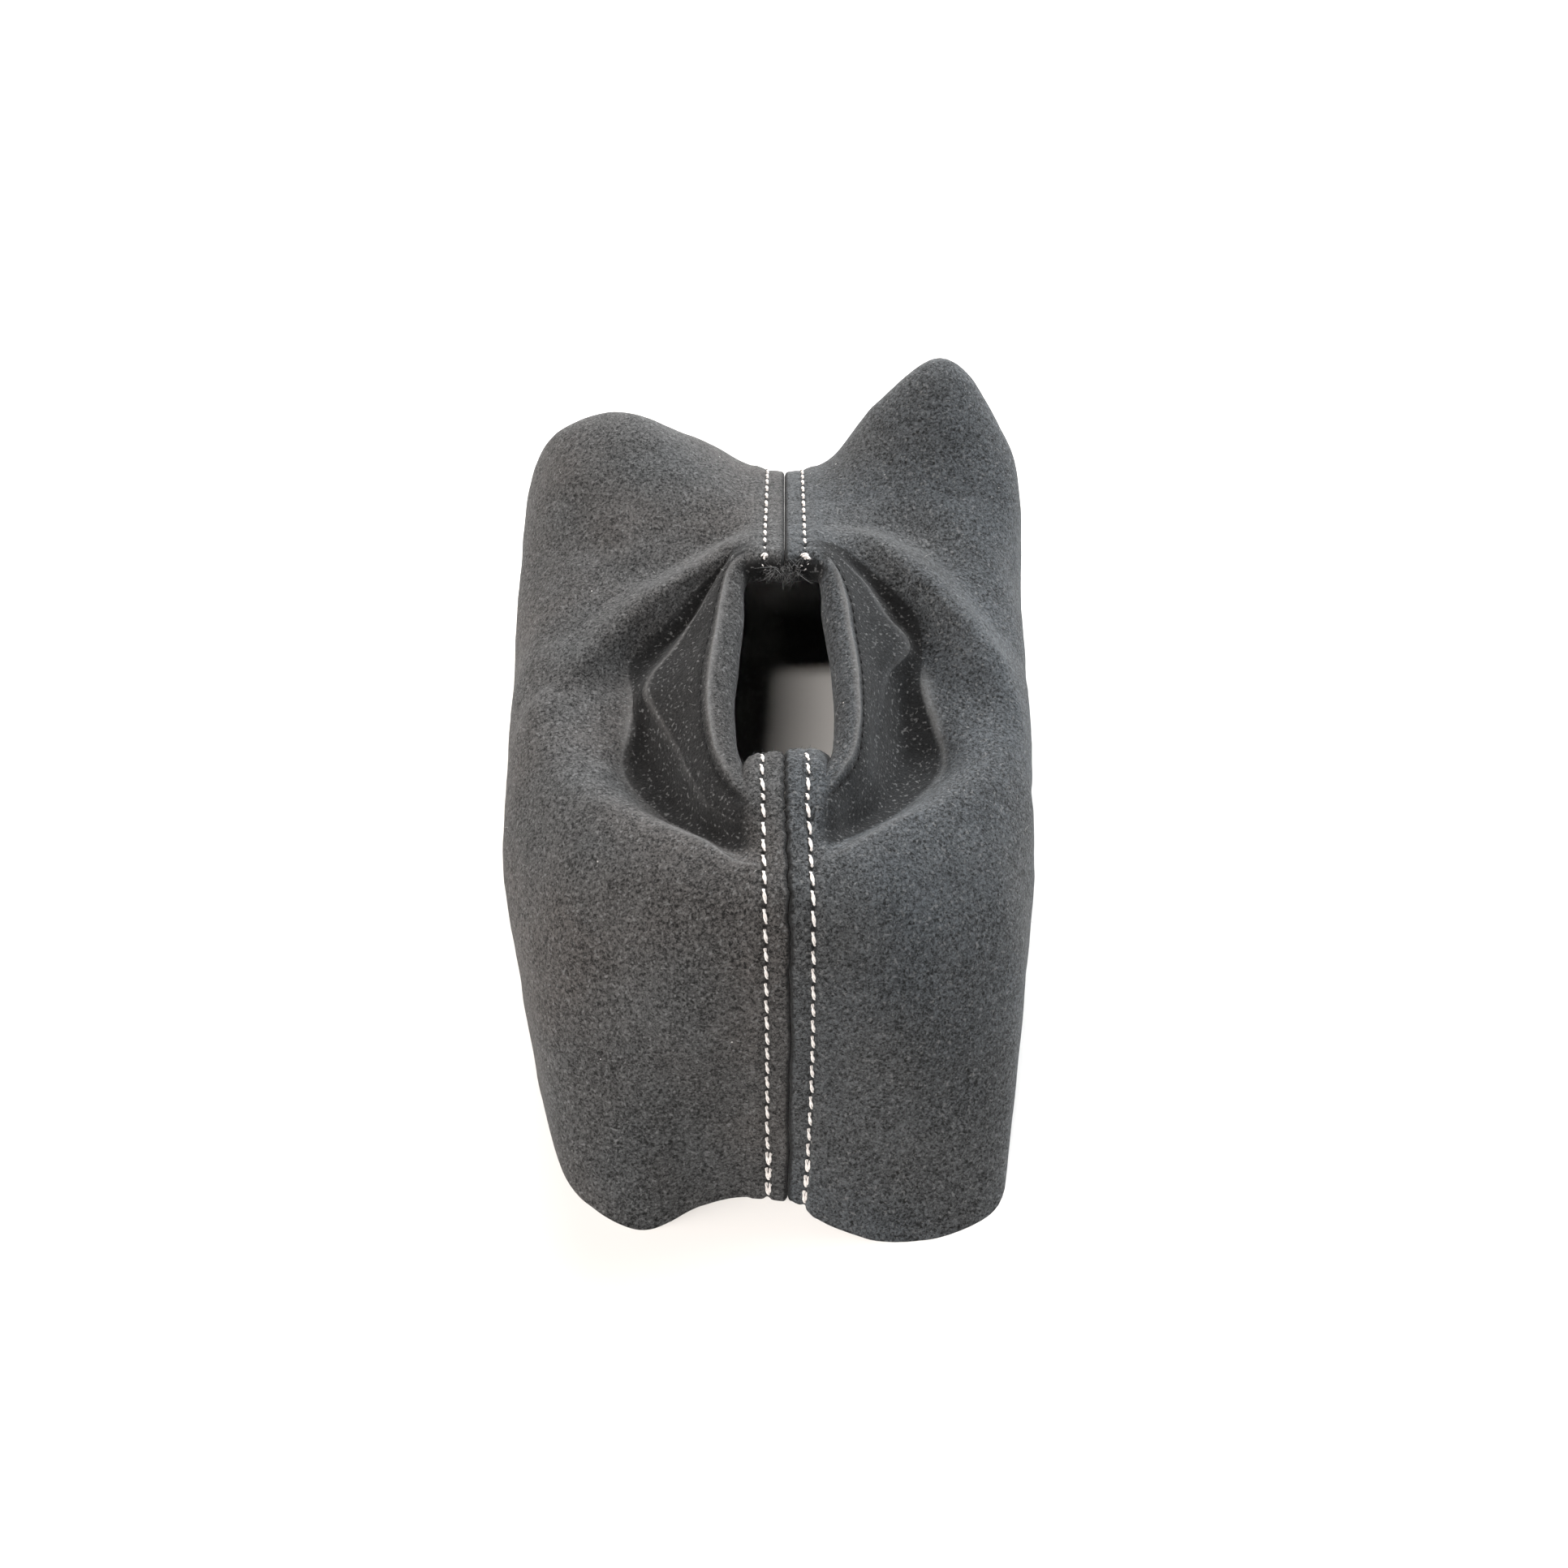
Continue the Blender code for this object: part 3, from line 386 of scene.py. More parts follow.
def even_spokes(panel, spacing):
    """Spoke positions from band edge to band edge, a spacing apart at the widest part of the wall."""
    fine = np.linspace(1.0, panel.last - 1.0, 3000)
    wide = np.zeros(len(fine) - 1)
    for level in (2.0, 5.0, 8.0):
        step = np.linalg.norm(np.diff(panel.points(fine, level), axis=0), axis=1)
        wide = np.maximum(wide, step)
    run = np.concatenate([[0.0], np.cumsum(wide)])
    count = int(run[-1] / spacing)
    return np.interp(np.linspace(0, run[-1], count + 1), run, fine)


def even_levels(panel, spacing):
    """Levels from the cage's first to the lower edge, a spacing apart where the panel is longest."""
    fine = np.linspace(-HEM_STEPS, LOWER_EDGE, 2000)
    wide = np.zeros(len(fine) - 1)
    for spoke in (1.0, 5.0, 9.0, 11.0):
        step = np.linalg.norm(np.diff(panel.points(spoke, fine), axis=0), axis=1)
        wide = np.maximum(wide, step)
    run = np.concatenate([[0.0], np.cumsum(wide)])
    count = int(run[-1] / spacing)
    return np.interp(np.linspace(0, run[-1], count + 1), run, fine)


def hem_levels(panel, levels, spoke):
    """The levels drawn back from the cage's first to the raw edge of the hem, which is cut unevenly."""
    place = np.stack([spoke, np.zeros_like(spoke), np.zeros_like(spoke)], axis=-1)
    uneven = 0.12 * ripple(place * 3.0, 1.0, 21 + panel.side) + 0.06 * ripple(place * 9.0, 1.0, 23)
    longer = np.interp(spoke, HEM_LONGER_SPOKES, LEFT_HEM_LONGER if panel.side < 0 else RIGHT_HEM_LONGER)
    cut = HEM_STEPS + RAW_EDGE + 4 * np.clip(0.06 + uneven, 0.0, 0.16) - longer
    inside = np.clip(-levels / HEM_STEPS, 0.0, 1.0) ** 2
    return levels + cut * inside


def row_place(panel, level, front, depth=0.0):
    """Points and outward normals along a topstitch row, at a depth below the napped face."""
    level = np.asarray(level, float)
    reach = np.interp(level, SWAY_LEVELS, FRONT_ROW_REACH) if front else np.full(level.shape, ROW_REACH)
    spoke = panel.spoke_at(reach, level, front)
    points = panel.points(spoke, level)
    normals = panel.normals(spoke, level)
    far = np.full(level.shape, 200.0)
    near, other = (reach, far) if front else (far, reach)
    height = relief(panel, points, level, near, other) + LEATHER / 2 - depth
    places = points + normals * height[:, None]
    places[:, 0] += sway(level, near)
    return places, normals


def stitch_runs(panel, front, seed):
    """Where the needle holes of a topstitch row lie along it, from the raw hem to the lower edge."""
    rng = np.random.default_rng(seed)
    total = seam_run(panel, float(LOWER_EDGE), front)
    crest = seam_run(panel, 0.0, front)
    runs = []
    place = seam_run(panel, RAW_EDGE + (0.0 if front else 0.35), front)
    while place < total - 0.4:
        runs.append(place)
        length = PITCH * rng.uniform(0.95, 1.05)
        if front and abs(place - crest) < PITCH / 2:
            length = PITCH * CREST_STITCH
        place += length
    runs = np.array(runs)
    return runs[0] + (runs - runs[0]) * (total - LAST_HOLE - runs[0]) / (runs[-1] - runs[0])


def section():
    """The folded edge at a seam: (reach, height, across, up) per column, raw edge first."""
    columns = [(reach, -TUCKED, 0.0, -1.0) for reach in (ALLOWANCE, 6.5, 4.5, 2.6)]
    for angle in (-90, -120, -150, 180, 160, 140, 120, 105, 90):
        across, up = math.cos(math.radians(angle)), math.sin(math.radians(angle))
        columns.append((FOLD_CENTRE + FOLD_RADIUS * across, FOLD_RADIUS * (up - 1), across, up))
    return columns


def edge_columns(panel, levels, height, face, front):
    """Both layers of the folded edge at one seam; height is the relief of the leather beside it."""
    spoke = 0.0 if front else float(panel.last)
    base = panel.points(spoke, levels)
    normal = panel.seam_normals(levels, front)
    drift = sway(levels, np.zeros_like(levels)) if front else 0.0
    columns = []
    for reach, drop, across, up in section():
        if up == -1.0 and reach > FOLD_CENTRE:
            tucked = panel.spoke_at(reach, levels, front)
            centre = panel.points(tucked, levels)
            upright = panel.normals(tucked, levels)
            column = centre + upright * (drop - face * LEATHER / 2)
            column[:, 0] += drift
            columns.append(column)
            continue
        out = reach + across * face * LEATHER / 2
        share = 1 + drop / TUCKED
        lift = drop + up * face * LEATHER / 2 + height * share
        column = base + normal * lift[:, None]
        column[:, 0] += panel.side * out + drift + SEAM_LEAN * np.minimum(lift, 0.0)
        columns.append(column)
    return np.stack(columns)


def panel_grids(panel, dimples):
    """The napped and the flesh face of a panel as grids of points, with masks on the napped face."""
    levels = even_levels(panel, LEVEL_SPACING)
    start = spread(OPEN_START, BAND - 0.2, BAND_SPACING, BAND_PLACES)
    spokes = even_spokes(panel, SPOKE_SPACING)
    position = [panel.spoke_at(reach, levels, True) for reach in start]
    position += [np.full(len(levels), spoke) for spoke in spokes]
    position += [panel.spoke_at(reach, levels, False) for reach in reversed(start)]
    position = np.stack(position)
    level = hem_levels(panel, np.broadcast_to(levels, position.shape), position)
    points = panel.points(position, level)
    normals = panel.normals(position, level)
    steps = np.linalg.norm(np.diff(points, axis=0), axis=-1)
    zero = np.zeros((1, len(levels)))
    to_front = OPEN_START + np.concatenate([zero, np.cumsum(steps, axis=0)])
    to_rear = OPEN_START + np.concatenate([np.cumsum(steps[::-1], axis=0)[::-1], zero])
    height = relief(panel, points, level, to_front, to_rear)
    # Pale lines along the folds, partly rubbed nap and partly painted highlight; the same mask also raises
    # a small ridge.
    edge_rub_highlight = LEFT_EDGE_RUB_HIGHLIGHT if panel.side < 0 else RIGHT_EDGE_RUB_HIGHLIGHT
    ridge_rub_highlight = LEFT_RIDGE_RUB_HIGHLIGHT if panel.side < 0 else RIGHT_RIDGE_RUB_HIGHLIGHT
    rubbed_and_highlit = np.zeros(level.shape)
    for place, width, rub_highlight in ((0.03, 0.10, CREST_RUB_HIGHLIGHT), (FACET_EDGE, 0.09, edge_rub_highlight),
                              (INNER_FOLD, 0.09, FOLD_RUB_HIGHLIGHT), (FRONT_RIDGE, 0.08, ridge_rub_highlight)):
        line = bell(level - place, width) * np.interp(position, range(panel.last + 1), rub_highlight)
        rubbed_and_highlit = np.maximum(rubbed_and_highlit, line)
    height += RIDGE * rubbed_and_highlit
    points = points.copy()
    points[..., 0] += sway(level, to_front)
    flat = points.reshape(-1, 3)
    pit = np.zeros(len(flat))
    near = np.minimum(to_front, to_rear).ravel() < 8
    for hole in dimples:
        gap = np.linalg.norm(flat[near] - hole, axis=1)
        pit[near] = np.maximum(pit[near], bell(gap, DIMPLE_WIDTH))
    pit = pit.reshape(level.shape)
    faces = []
    for face in (1, -1):
        lift = height + face * LEATHER / 2 - (DIMPLE * pit if face > 0 else 0.0)
        open_part = points + normals * lift[..., None]
        front_edge = edge_columns(panel, level[0], height[0], face, True)
        rear_edge = edge_columns(panel, level[-1], height[-1], face, False)[::-1]
        grid = np.concatenate([front_edge, open_part, rear_edge])
        above, last = grid[:, -2], grid[:, -1]
        grid[:, -1] = above + (last - above) * (above[:, 2:] / (above[:, 2:] - last[:, 2:]))
        grid[:, -1, 2] = 0.0
        faces.append(grid)
    edge = len(front_edge)
    blank = np.zeros((edge, len(levels)))
    # Painted shade in recesses: the fold of each seam, the dimples round the needle holes and the hem
    # stitching line.
    groove = np.broadcast_to(np.array(GROOVE_SHADE)[:, None], blank.shape)
    hem_line_shade = 0.9 * hem_line(level, to_front, to_rear, 0.12)
    recess_shade = np.concatenate([groove, np.maximum(pit, hem_line_shade), groove[::-1]])
    # Painted shade on the facets and in the folds round the neck, kept off the pale fold lines; behind adds
    # painted shade under the roll at the rear of the neck.
    beside = ease(6.0, 11.0, np.minimum(to_front, to_rear))
    painted_shade = np.interp(level, SHADE_LEVELS, SHADE) * beside * (1 - 0.85 * rubbed_and_highlit)
    behind = ease(panel.last - 3.6, panel.last - 2.6, position) * ease(0.2, 0.9, -level)
    painted_shade = np.maximum(painted_shade, behind)
    painted_shade = np.concatenate([blank + painted_shade[0], painted_shade, blank + painted_shade[-1]])
    rubbed_and_highlit = np.concatenate([blank, rubbed_and_highlit, blank])
    return faces[0], faces[1], {"recess_shade": recess_shade, "rubbed_and_highlit": rubbed_and_highlit, "painted_shade": painted_shade}


def deselect():
    bpy.ops.object.select_all(action="DESELECT")


def mesh_object(name, points, faces):
    mesh = bpy.data.meshes.new(name)
    mesh.from_pydata(points.tolist(), [], faces)
    mesh.validate()
    thing = bpy.data.objects.new(name, mesh)
    bpy.context.collection.objects.link(thing)
    return thing


def panel_object(name, panel, nap, flesh, masks, shift):
    """One closed panel from its two faces and the cut edges between them."""
    columns, rows = nap.shape[:2]
    count = columns * rows
    index = np.arange(count).reshape(columns, rows)
    a, b, c, d = index[:-1, :-1], index[1:, :-1], index[1:, 1:], index[:-1, 1:]
    quads = np.stack([a, b, c, d], axis=-1).reshape(-1, 4)
    under = quads[:, ::-1] + count
    rim = []
    for line in (index[:, 0][::-1], index[:, -1], index[0], index[-1][::-1]):
        rim.append(np.stack([line[:-1], line[:-1] + count, line[1:] + count, line[1:]], axis=-1))
    faces = np.concatenate([quads, under] + rim)
    if panel.side < 0:
        faces = faces[:, ::-1]
    points = (np.concatenate([nap.reshape(-1, 3), flesh.reshape(-1, 3)]) + shift) * MM
    thing = mesh_object(name, points, faces[:, ::-1].tolist())
    for title, mask in masks.items():
        attribute = thing.data.attributes.new(title, "FLOAT", "POINT")
        values = np.concatenate([mask.ravel(), np.zeros(count)]).astype(np.float32)
        attribute.data.foreach_set("value", values)
    side = np.zeros(len(thing.data.polygons), np.int32)
    side[len(quads):2 * len(quads)] = 1
    thing.data.polygons.foreach_set("material_index", side)
    deselect()
    thing.select_set(True)
    bpy.context.view_layer.objects.active = thing
    bpy.ops.object.shade_smooth_by_angle(angle=math.radians(55))
    return thing


def stitch_master(name, steps=9, turns=0.9):
    """One two-ply stitch, one unit long and about one unit thick, lying along X on the plane z = 0."""
    plies = []
    for start in (0.0, math.pi):
        deselect()
        centre = (-0.5, 0.24 * math.cos(start), 0.24 * math.sin(start))
        bpy.ops.mesh.primitive_circle_add(vertices=6, radius=0.3, fill_type="NGON", location=centre,
                                          rotation=(0.0, math.pi / 2, 0.0))
        ply = bpy.context.active_object
        bpy.ops.object.transform_apply(location=True, rotation=True, scale=True)
        bpy.ops.object.mode_set(mode="EDIT")
        bpy.ops.mesh.select_all(action="SELECT")
        for step in range(steps):
            bpy.ops.mesh.extrude_region_move(TRANSFORM_OT_translate={"value": (1 / steps, 0.0, 0.0)})
            bpy.ops.transform.rotate(value=2 * math.pi * turns / steps, orient_axis="X",
                                     center_override=(0.0, 0.0, 0.0))
        bpy.ops.mesh.select_all(action="SELECT")
        bpy.ops.mesh.normals_make_consistent(inside=False)
        bpy.ops.object.mode_set(mode="OBJECT")
        plies.append(ply)
    for ply in plies:
        ply.select_set(True)
    bpy.ops.object.join()
    master = bpy.context.active_object
    master.name = name
    for vertex in master.data.vertices:
        t = 2 * vertex.co.x
        taper = 1 - 0.3 * t ** 4
        vertex.co.y *= taper
        vertex.co.z = vertex.co.z * taper * 0.85 + 0.34 - 0.25 * t ** 2 - 0.9 * t ** 8
    bpy.ops.object.shade_smooth()
    return master


def stitch_place(start, end, normal, thickness, slant, shift, gap=STITCH_GAP):
    """Where one stitch lies: from hole to hole, across its row by the slant, upright on the leather."""
    along = (end - start) / np.linalg.norm(end - start)
    across = np.cross(normal, along)
    across /= np.linalg.norm(across)
    up = np.cross(along, across)
    start = start - across * slant + along * gap / 2
    end = end + across * slant - along * gap / 2
    middle = (start + end) / 2 + shift
    turn = np.column_stack([end - start, across * thickness, up * thickness, middle])
    return Matrix([list(row) for row in turn * MM] + [[0.0, 0.0, 0.0, 1.0]])


def plain_row(holes, normals, thickness, slant, shift):
    """A stitch from each needle hole to the next."""
    return [stitch_place(start, end, normal, thickness, slant, shift)
            for start, end, normal in zip(holes, holes[1:], normals)]


def sew(name, master, places, material):
    """Copies of the master stitch, each with its own mesh, joined into one piece."""
    deselect()
    for place in places:
        stitch = master.copy()
        stitch.data = master.data.copy()
        stitch.data.transform(place)
        bpy.context.collection.objects.link(stitch)
        stitch.select_set(True)
        bpy.context.view_layer.objects.active = stitch
    bpy.ops.object.join()
    piece = bpy.context.active_object
    piece.name = name
    piece.data.materials.clear()
    piece.data.materials.append(material)
    return piece


def topstitch_places(panel, front, runs, shift):
    """The needle thread of one topstitch row, with doubled stitches where it starts and stops."""
    levels = level_at(panel, runs, front)
    holes, normals = row_place(panel, levels, front)
    places = []
    slant = 0.26 if front else 0.12
    for k in range(len(runs) - 1):
        normal = normals[k] + normals[k + 1]
        normal /= np.linalg.norm(normal)
        places.append(stitch_place(holes[k], holes[k + 1], normal, TOPSTITCH_THREAD, slant, shift,
                                   STITCH_GAP if front else REAR_STITCH_GAP))
        if front and k >= len(runs) - 4:
            beside = np.array([0.55, 0.0, 0.0]) + normal * 0.2
            places.append(stitch_place(holes[k] + beside, holes[k + 1] + beside, normal,
                                       TOPSTITCH_THREAD, -slant, shift))
    return places


def knot_places(panel, shift):
    """The thread tied off at the rear of the neck: short turns of thread across the end of the row."""
    middle, normal = row_place(panel, [-0.25], False)
    centre = middle[0] + normal[0] * 0.15
    down = panel.points(panel.last - 0.6, -0.6) - panel.points(panel.last - 0.6, 0.2)
    down /= np.linalg.norm(down)
    right = np.array([1.0, 0.0, 0.0])
    turns = [(-1.1, 0.1, 1.0, -0.1, 1.0), (-0.7, -0.5, 0.8, 0.4, 1.1), (-0.2, 0.9, 0.5, -0.7, 0.9)]
    if panel.side > 0:
        turns += [(-1.3, -0.2, 0.4, 0.5, 1.25), (-0.1, 0.4, 1.3, 1.2, 1.0)]
    places = []
    for x0, d0, x1, d1, thickness in turns:
        start = centre + right * x0 + down * d0
        end = centre + right * x1 + down * d1
        places.append(stitch_place(start, end, normal[0], thickness * TOPSTITCH_THREAD, 0.0, shift, 0.0))
    return places


def bobbin_places(panel, front, runs, shift):
    """The under thread of one topstitch row, below both layers of leather."""
    levels = level_at(panel, runs, front)
    holes, normals = row_place(panel, levels, front, LEATHER / 2 + TUCKED + LEATHER / 2)
    return plain_row(holes, -normals, BOBBIN_THREAD, 0.08, shift)


def hem_places(panel, level, face, seed, shift):
    """Black stitches round the neck roll on one panel, outside it (face 1) or inside it (face -1)."""
    rng = np.random.default_rng(seed)
    spots = np.linspace(1.35, panel.last - 1.2, 1500)
    fine = np.full(len(spots), level)
    points = panel.points(spots, fine)
    run = np.concatenate([[0.0], np.cumsum(np.linalg.norm(np.diff(points, axis=0), axis=1))])
    marks = []
    place = 0.0
    while place < run[-1]:
        marks.append(place)
        place += HEM_PITCH * rng.uniform(0.9, 1.1)
    at = np.interp(marks, run, spots)
    lines = np.full(len(at), level)
    centre = panel.points(at, lines)
    normals = panel.normals(at, lines)
    far = np.full(len(at), 60.0)
    height = relief(panel, centre, lines, far, far) + face * LEATHER / 2
    holes = centre + normals * height[:, None]
    return plain_row(holes, normals * face, HEM_THREAD, 0.05, shift)


def closing_places(panel, front, shift):
    """The stitches that close a seam, hidden inside the fold of one panel."""
    total = seam_run(panel, float(LOWER_EDGE), front)
    runs = np.arange(seam_run(panel, RAW_EDGE + 0.6, front), total - 1.5, 3.4)
    levels = level_at(panel, runs, front)
    points = panel.points(0.0 if front else float(panel.last), levels)
    normals = panel.seam_normals(levels, front)
    holes = points - normals * (FOLD_RADIUS + 0.1)
    if front:
        holes[:, 0] += sway(levels, np.zeros_like(levels))
    holes[:, 0] += panel.side * (SEAM_GAP + LEATHER + 0.1)
    return plain_row(holes, normals, CLOSING_THREAD, 0.05, shift)


def fibres(name, roots, directions, lengths, radius, curl, seed, material):
    """Thin tapered hairs, each from its root in its own direction with a little curl."""
    rng = np.random.default_rng(seed)
    points, faces = [], []
    for root, direction, length in zip(roots, directions, lengths):
        bend = rng.normal(size=3) * curl
        side = np.cross(direction, rng.normal(size=3))
        side /= np.linalg.norm(side)
        other = np.cross(direction, side)
        first = len(points)
        for step in range(5):
            t = step / 4
            centre = root + direction * length * t + bend * length * t * t
            width = radius * (1 - 0.7 * t)
            for k in range(3):
                angle = 2 * math.pi * k / 3
                points.append(centre + (side * math.cos(angle) + other * math.sin(angle)) * width)
        for step in range(4):
            for k in range(3):
                a = first + step * 3 + k
                b = first + step * 3 + (k + 1) % 3
                faces.append((a, b, b + 3, a + 3))
        faces.append((first + 2, first + 1, first))
        faces.append((first + 12, first + 13, first + 14))
    thing = mesh_object(name, np.array(points) * MM, faces)
    thing.data.materials.append(material)
    thing.data.shade_smooth()
    return thing


# ---- materials ----
def socket(group, name, direction, kind):
    return group.interface.new_socket(name=name, in_out=direction, socket_type=kind)


def math_node(nodes, links, operation, first, second):
    node = nodes.new("ShaderNodeMath")
    node.operation = operation
    for entry, value in zip(node.inputs, (first, second)):
        if isinstance(value, (int, float)):
            entry.default_value = value
        else:
            links.new(value, entry)
    return node.outputs[0]


def map_range(nodes, links, value, low, high, to_low=0.0, to_high=1.0):
    node = nodes.new("ShaderNodeMapRange")
    node.inputs["From Min"].default_value = low
    node.inputs["From Max"].default_value = high
    node.inputs["To Min"].default_value = to_low
    node.inputs["To Max"].default_value = to_high
    links.new(value, node.inputs["Value"])
    return node.outputs[0]


def noise_node(nodes, links, vector, scale, detail, roughness, distortion=0.0):
    node = nodes.new("ShaderNodeTexNoise")
    node.inputs["Scale"].default_value = scale
    node.inputs["Detail"].default_value = detail
    node.inputs["Roughness"].default_value = roughness
    node.inputs["Distortion"].default_value = distortion
    links.new(vector, node.inputs["Vector"])
    return node.outputs["Fac"]


def nap_group():
    """Short fibres lying every way: a tone from 0 to 1, a height, and masks of pale fibre tips and lint."""
    group = bpy.data.node_groups.new("nap", "ShaderNodeTree")
    socket(group, "Vector", "INPUT", "NodeSocketVector")
    for name in ("Tone", "Height", "Tips", "Lint"):
        socket(group, name, "OUTPUT", "NodeSocketFloat")
    nodes, links = group.nodes, group.links
    start = nodes.new("NodeGroupInput").outputs["Vector"]
    end = nodes.new("NodeGroupOutput")
    grain = noise_node(nodes, links, start, 1400.0, 3.0, 0.8, 0.6)
    clump = noise_node(nodes, links, start, 420.0, 2.0, 0.5)
    patch = noise_node(nodes, links, start, 38.0, 2.0, 0.5)
    tone = math_node(nodes, links, "MULTIPLY", grain, 0.82)
    tone = math_node(nodes, links, "ADD", tone, math_node(nodes, links, "MULTIPLY", clump, 0.10))
    tone = math_node(nodes, links, "ADD", tone, math_node(nodes, links, "MULTIPLY", patch, 0.08))
    links.new(map_range(nodes, links, tone, 0.40, 0.61), end.inputs["Tone"])
    height = math_node(nodes, links, "ADD", grain, math_node(nodes, links, "MULTIPLY", clump, 0.6))
    links.new(height, end.inputs["Height"])
    tips = noise_node(nodes, links, start, 1150.0, 1.0, 0.5)
    links.new(map_range(nodes, links, tips, 0.60, 0.74), end.inputs["Tips"])
    cells = nodes.new("ShaderNodeTexVoronoi")
    cells.inputs["Scale"].default_value = 160.0
    links.new(start, cells.inputs["Vector"])
    near = math_node(nodes, links, "LESS_THAN", cells.outputs["Distance"], 0.034)
    pick = nodes.new("ShaderNodeSeparateColor")
    links.new(cells.outputs["Color"], pick.inputs["Color"])
    chosen = math_node(nodes, links, "GREATER_THAN", pick.outputs["Red"], 0.72)
    links.new(math_node(nodes, links, "MULTIPLY", near, chosen), end.inputs["Lint"])
    return group


def mixed_colour(nodes, links, factor, first, second, blend="MIX"):
    node = nodes.new("ShaderNodeMix")
    node.data_type = "RGBA"
    node.blend_type = blend
    factor_in, first_in, second_in = node.inputs[0], node.inputs[6], node.inputs[7]
    for entry, value in ((factor_in, factor), (first_in, first), (second_in, second)):
        if isinstance(value, (tuple, float)):
            entry.default_value = value
        else:
            links.new(value, entry)
    return node.outputs[2]


def napped(name, nap, deep, pale):
    """A new material with the nap pattern on Object coordinates, and its two-tone colour."""
    material = bpy.data.materials.new(name)
    material.use_nodes = True
    nodes, links = material.node_tree.nodes, material.node_tree.links
    place = nodes.new("ShaderNodeTexCoord").outputs["Object"]
    fibre = nodes.new("ShaderNodeGroup")
    fibre.node_tree = nap
    links.new(place, fibre.inputs["Vector"])
    colour = mixed_colour(nodes, links, fibre.outputs["Tone"], deep, pale)
    return material, nodes, links, place, fibre.outputs, colour


def raise_nap(nodes, links, height, strength, distance):
    """Small bumps of the nap on the material's shader; distance is in metres."""
    bump = nodes.new("ShaderNodeBump")
    bump.inputs["Strength"].default_value = strength
    bump.inputs["Distance"].default_value = distance
    links.new(height, bump.inputs["Height"])
    links.new(bump.outputs["Normal"], nodes["Principled BSDF"].inputs["Normal"])


def mask(nodes, title):
    """A mask that the panel's mesh carries."""
    node = nodes.new("ShaderNodeAttribute")
    node.attribute_name = title
    return node.outputs["Fac"]


def suede(name, nap, deep, pale, cool, warm):
    """Charcoal suede: mottled nap, paler along folds (rubbed nap and painted highlight), darker with
    painted shade.
    """
    material, nodes, links, place, fibre, colour = napped(name, nap, deep, pale)
    shader = nodes["Principled BSDF"]
    # Broad random mottling between a cool and a warm tint; each panel's pair is set warmer or cooler as
    # painted light colour.
    broad = noise_node(nodes, links, place, 26.0, 2.0, 0.5)
    broad = map_range(nodes, links, broad, 0.35, 0.65)
    mottle_and_light_tint = mixed_colour(nodes, links, broad, cool, warm)
    colour = mixed_colour(nodes, links, 1.0, colour, mottle_and_light_tint, "MULTIPLY")
    # Over the nap: pale fold lines (part rubbed nap, part painted highlight), painted shade round the neck,
    # pale fibre tips, lint, painted shade in recesses.
    layers = ((mask(nodes, "rubbed_and_highlit"), 0.65, (0.17, 0.167, 0.165, 1.0)),
              (mask(nodes, "painted_shade"), 0.95, (0.006, 0.006, 0.0062, 1.0)),
              (fibre["Tips"], 0.5, (0.19, 0.19, 0.19, 1.0)),
              (fibre["Lint"], 0.7, (0.6, 0.58, 0.56, 1.0)),
              (mask(nodes, "recess_shade"), 0.85, (0.004, 0.004, 0.004, 1.0)))
    for where, most, tint in layers:
        share = math_node(nodes, links, "MULTIPLY", where, most)
        colour = mixed_colour(nodes, links, share, colour, tint)
    links.new(colour, shader.inputs["Base Color"])
    rough = map_range(nodes, links, fibre["Tone"], 0.0, 1.0, 0.85, 1.0)
    links.new(rough, shader.inputs["Roughness"])
    raise_nap(nodes, links, fibre["Height"], 0.7, 0.0005)
    shader.inputs["Specular IOR Level"].default_value = 0.15
    shader.inputs["Sheen Weight"].default_value = 0.10
    shader.inputs["Sheen Roughness"].default_value = 0.45
    shader.inputs["Sheen Tint"].default_value = (0.9, 0.9, 0.9, 1.0)
    return material


def thread(name, nap, deep, pale, sheen=0.3):
    """Twisted sewing thread with a little fluff; the flesh side and loose fibres use it too."""
    material, nodes, links, place, fibre, colour = napped(name, nap, deep, pale)
    shader = nodes["Principled BSDF"]
    links.new(colour, shader.inputs["Base Color"])
    raise_nap(nodes, links, fibre["Height"], 0.3, 0.0001)
    shader.inputs["Roughness"].default_value = 0.55
    shader.inputs["Specular IOR Level"].default_value = sheen
    shader.inputs["Sheen Weight"].default_value = sheen
    return material


# ---- the gaiter ----
nap = nap_group()
# The left panel is tinted warmer and the right one cooler: painted colour of warm light from the left and
# cool light from the right.
left_suede = suede("left_suede", nap, (0.006, 0.006, 0.0059, 1), (0.104, 0.1025, 0.101, 1),
                   (0.965, 1.0, 1.03, 1), (1.045, 0.99, 0.97, 1))
right_suede = suede("right_suede", nap, (0.0059, 0.006, 0.006, 1), (0.100, 0.1025, 0.105, 1),
                    (0.94, 1.0, 1.06, 1), (0.99, 0.995, 1.0, 1))
# The flesh side is near black as painted shade for the inside of the gaiter.
suede_back = thread("suede_back", nap, (0.002, 0.002, 0.002, 1), (0.012, 0.012, 0.012, 1), 0.0)
loose_fibre = thread("loose_fibre", nap, (0.02, 0.02, 0.02, 1), (0.12, 0.12, 0.12, 1), 0.1)
rear_fray = thread("rear_fray", nap, (0.03, 0.03, 0.03, 1), (0.22, 0.22, 0.22, 1), 0.1)
pale_lint = thread("pale_lint", nap, (0.25, 0.25, 0.24, 1), (0.5, 0.5, 0.48, 1), 0.1)
white_thread = thread("white_thread", nap, (0.62, 0.57, 0.54, 1), (0.86, 0.82, 0.79, 1))
black_thread = thread("black_thread", nap, (0.004, 0.004, 0.004, 1), (0.016, 0.016, 0.017, 1), 0.05)

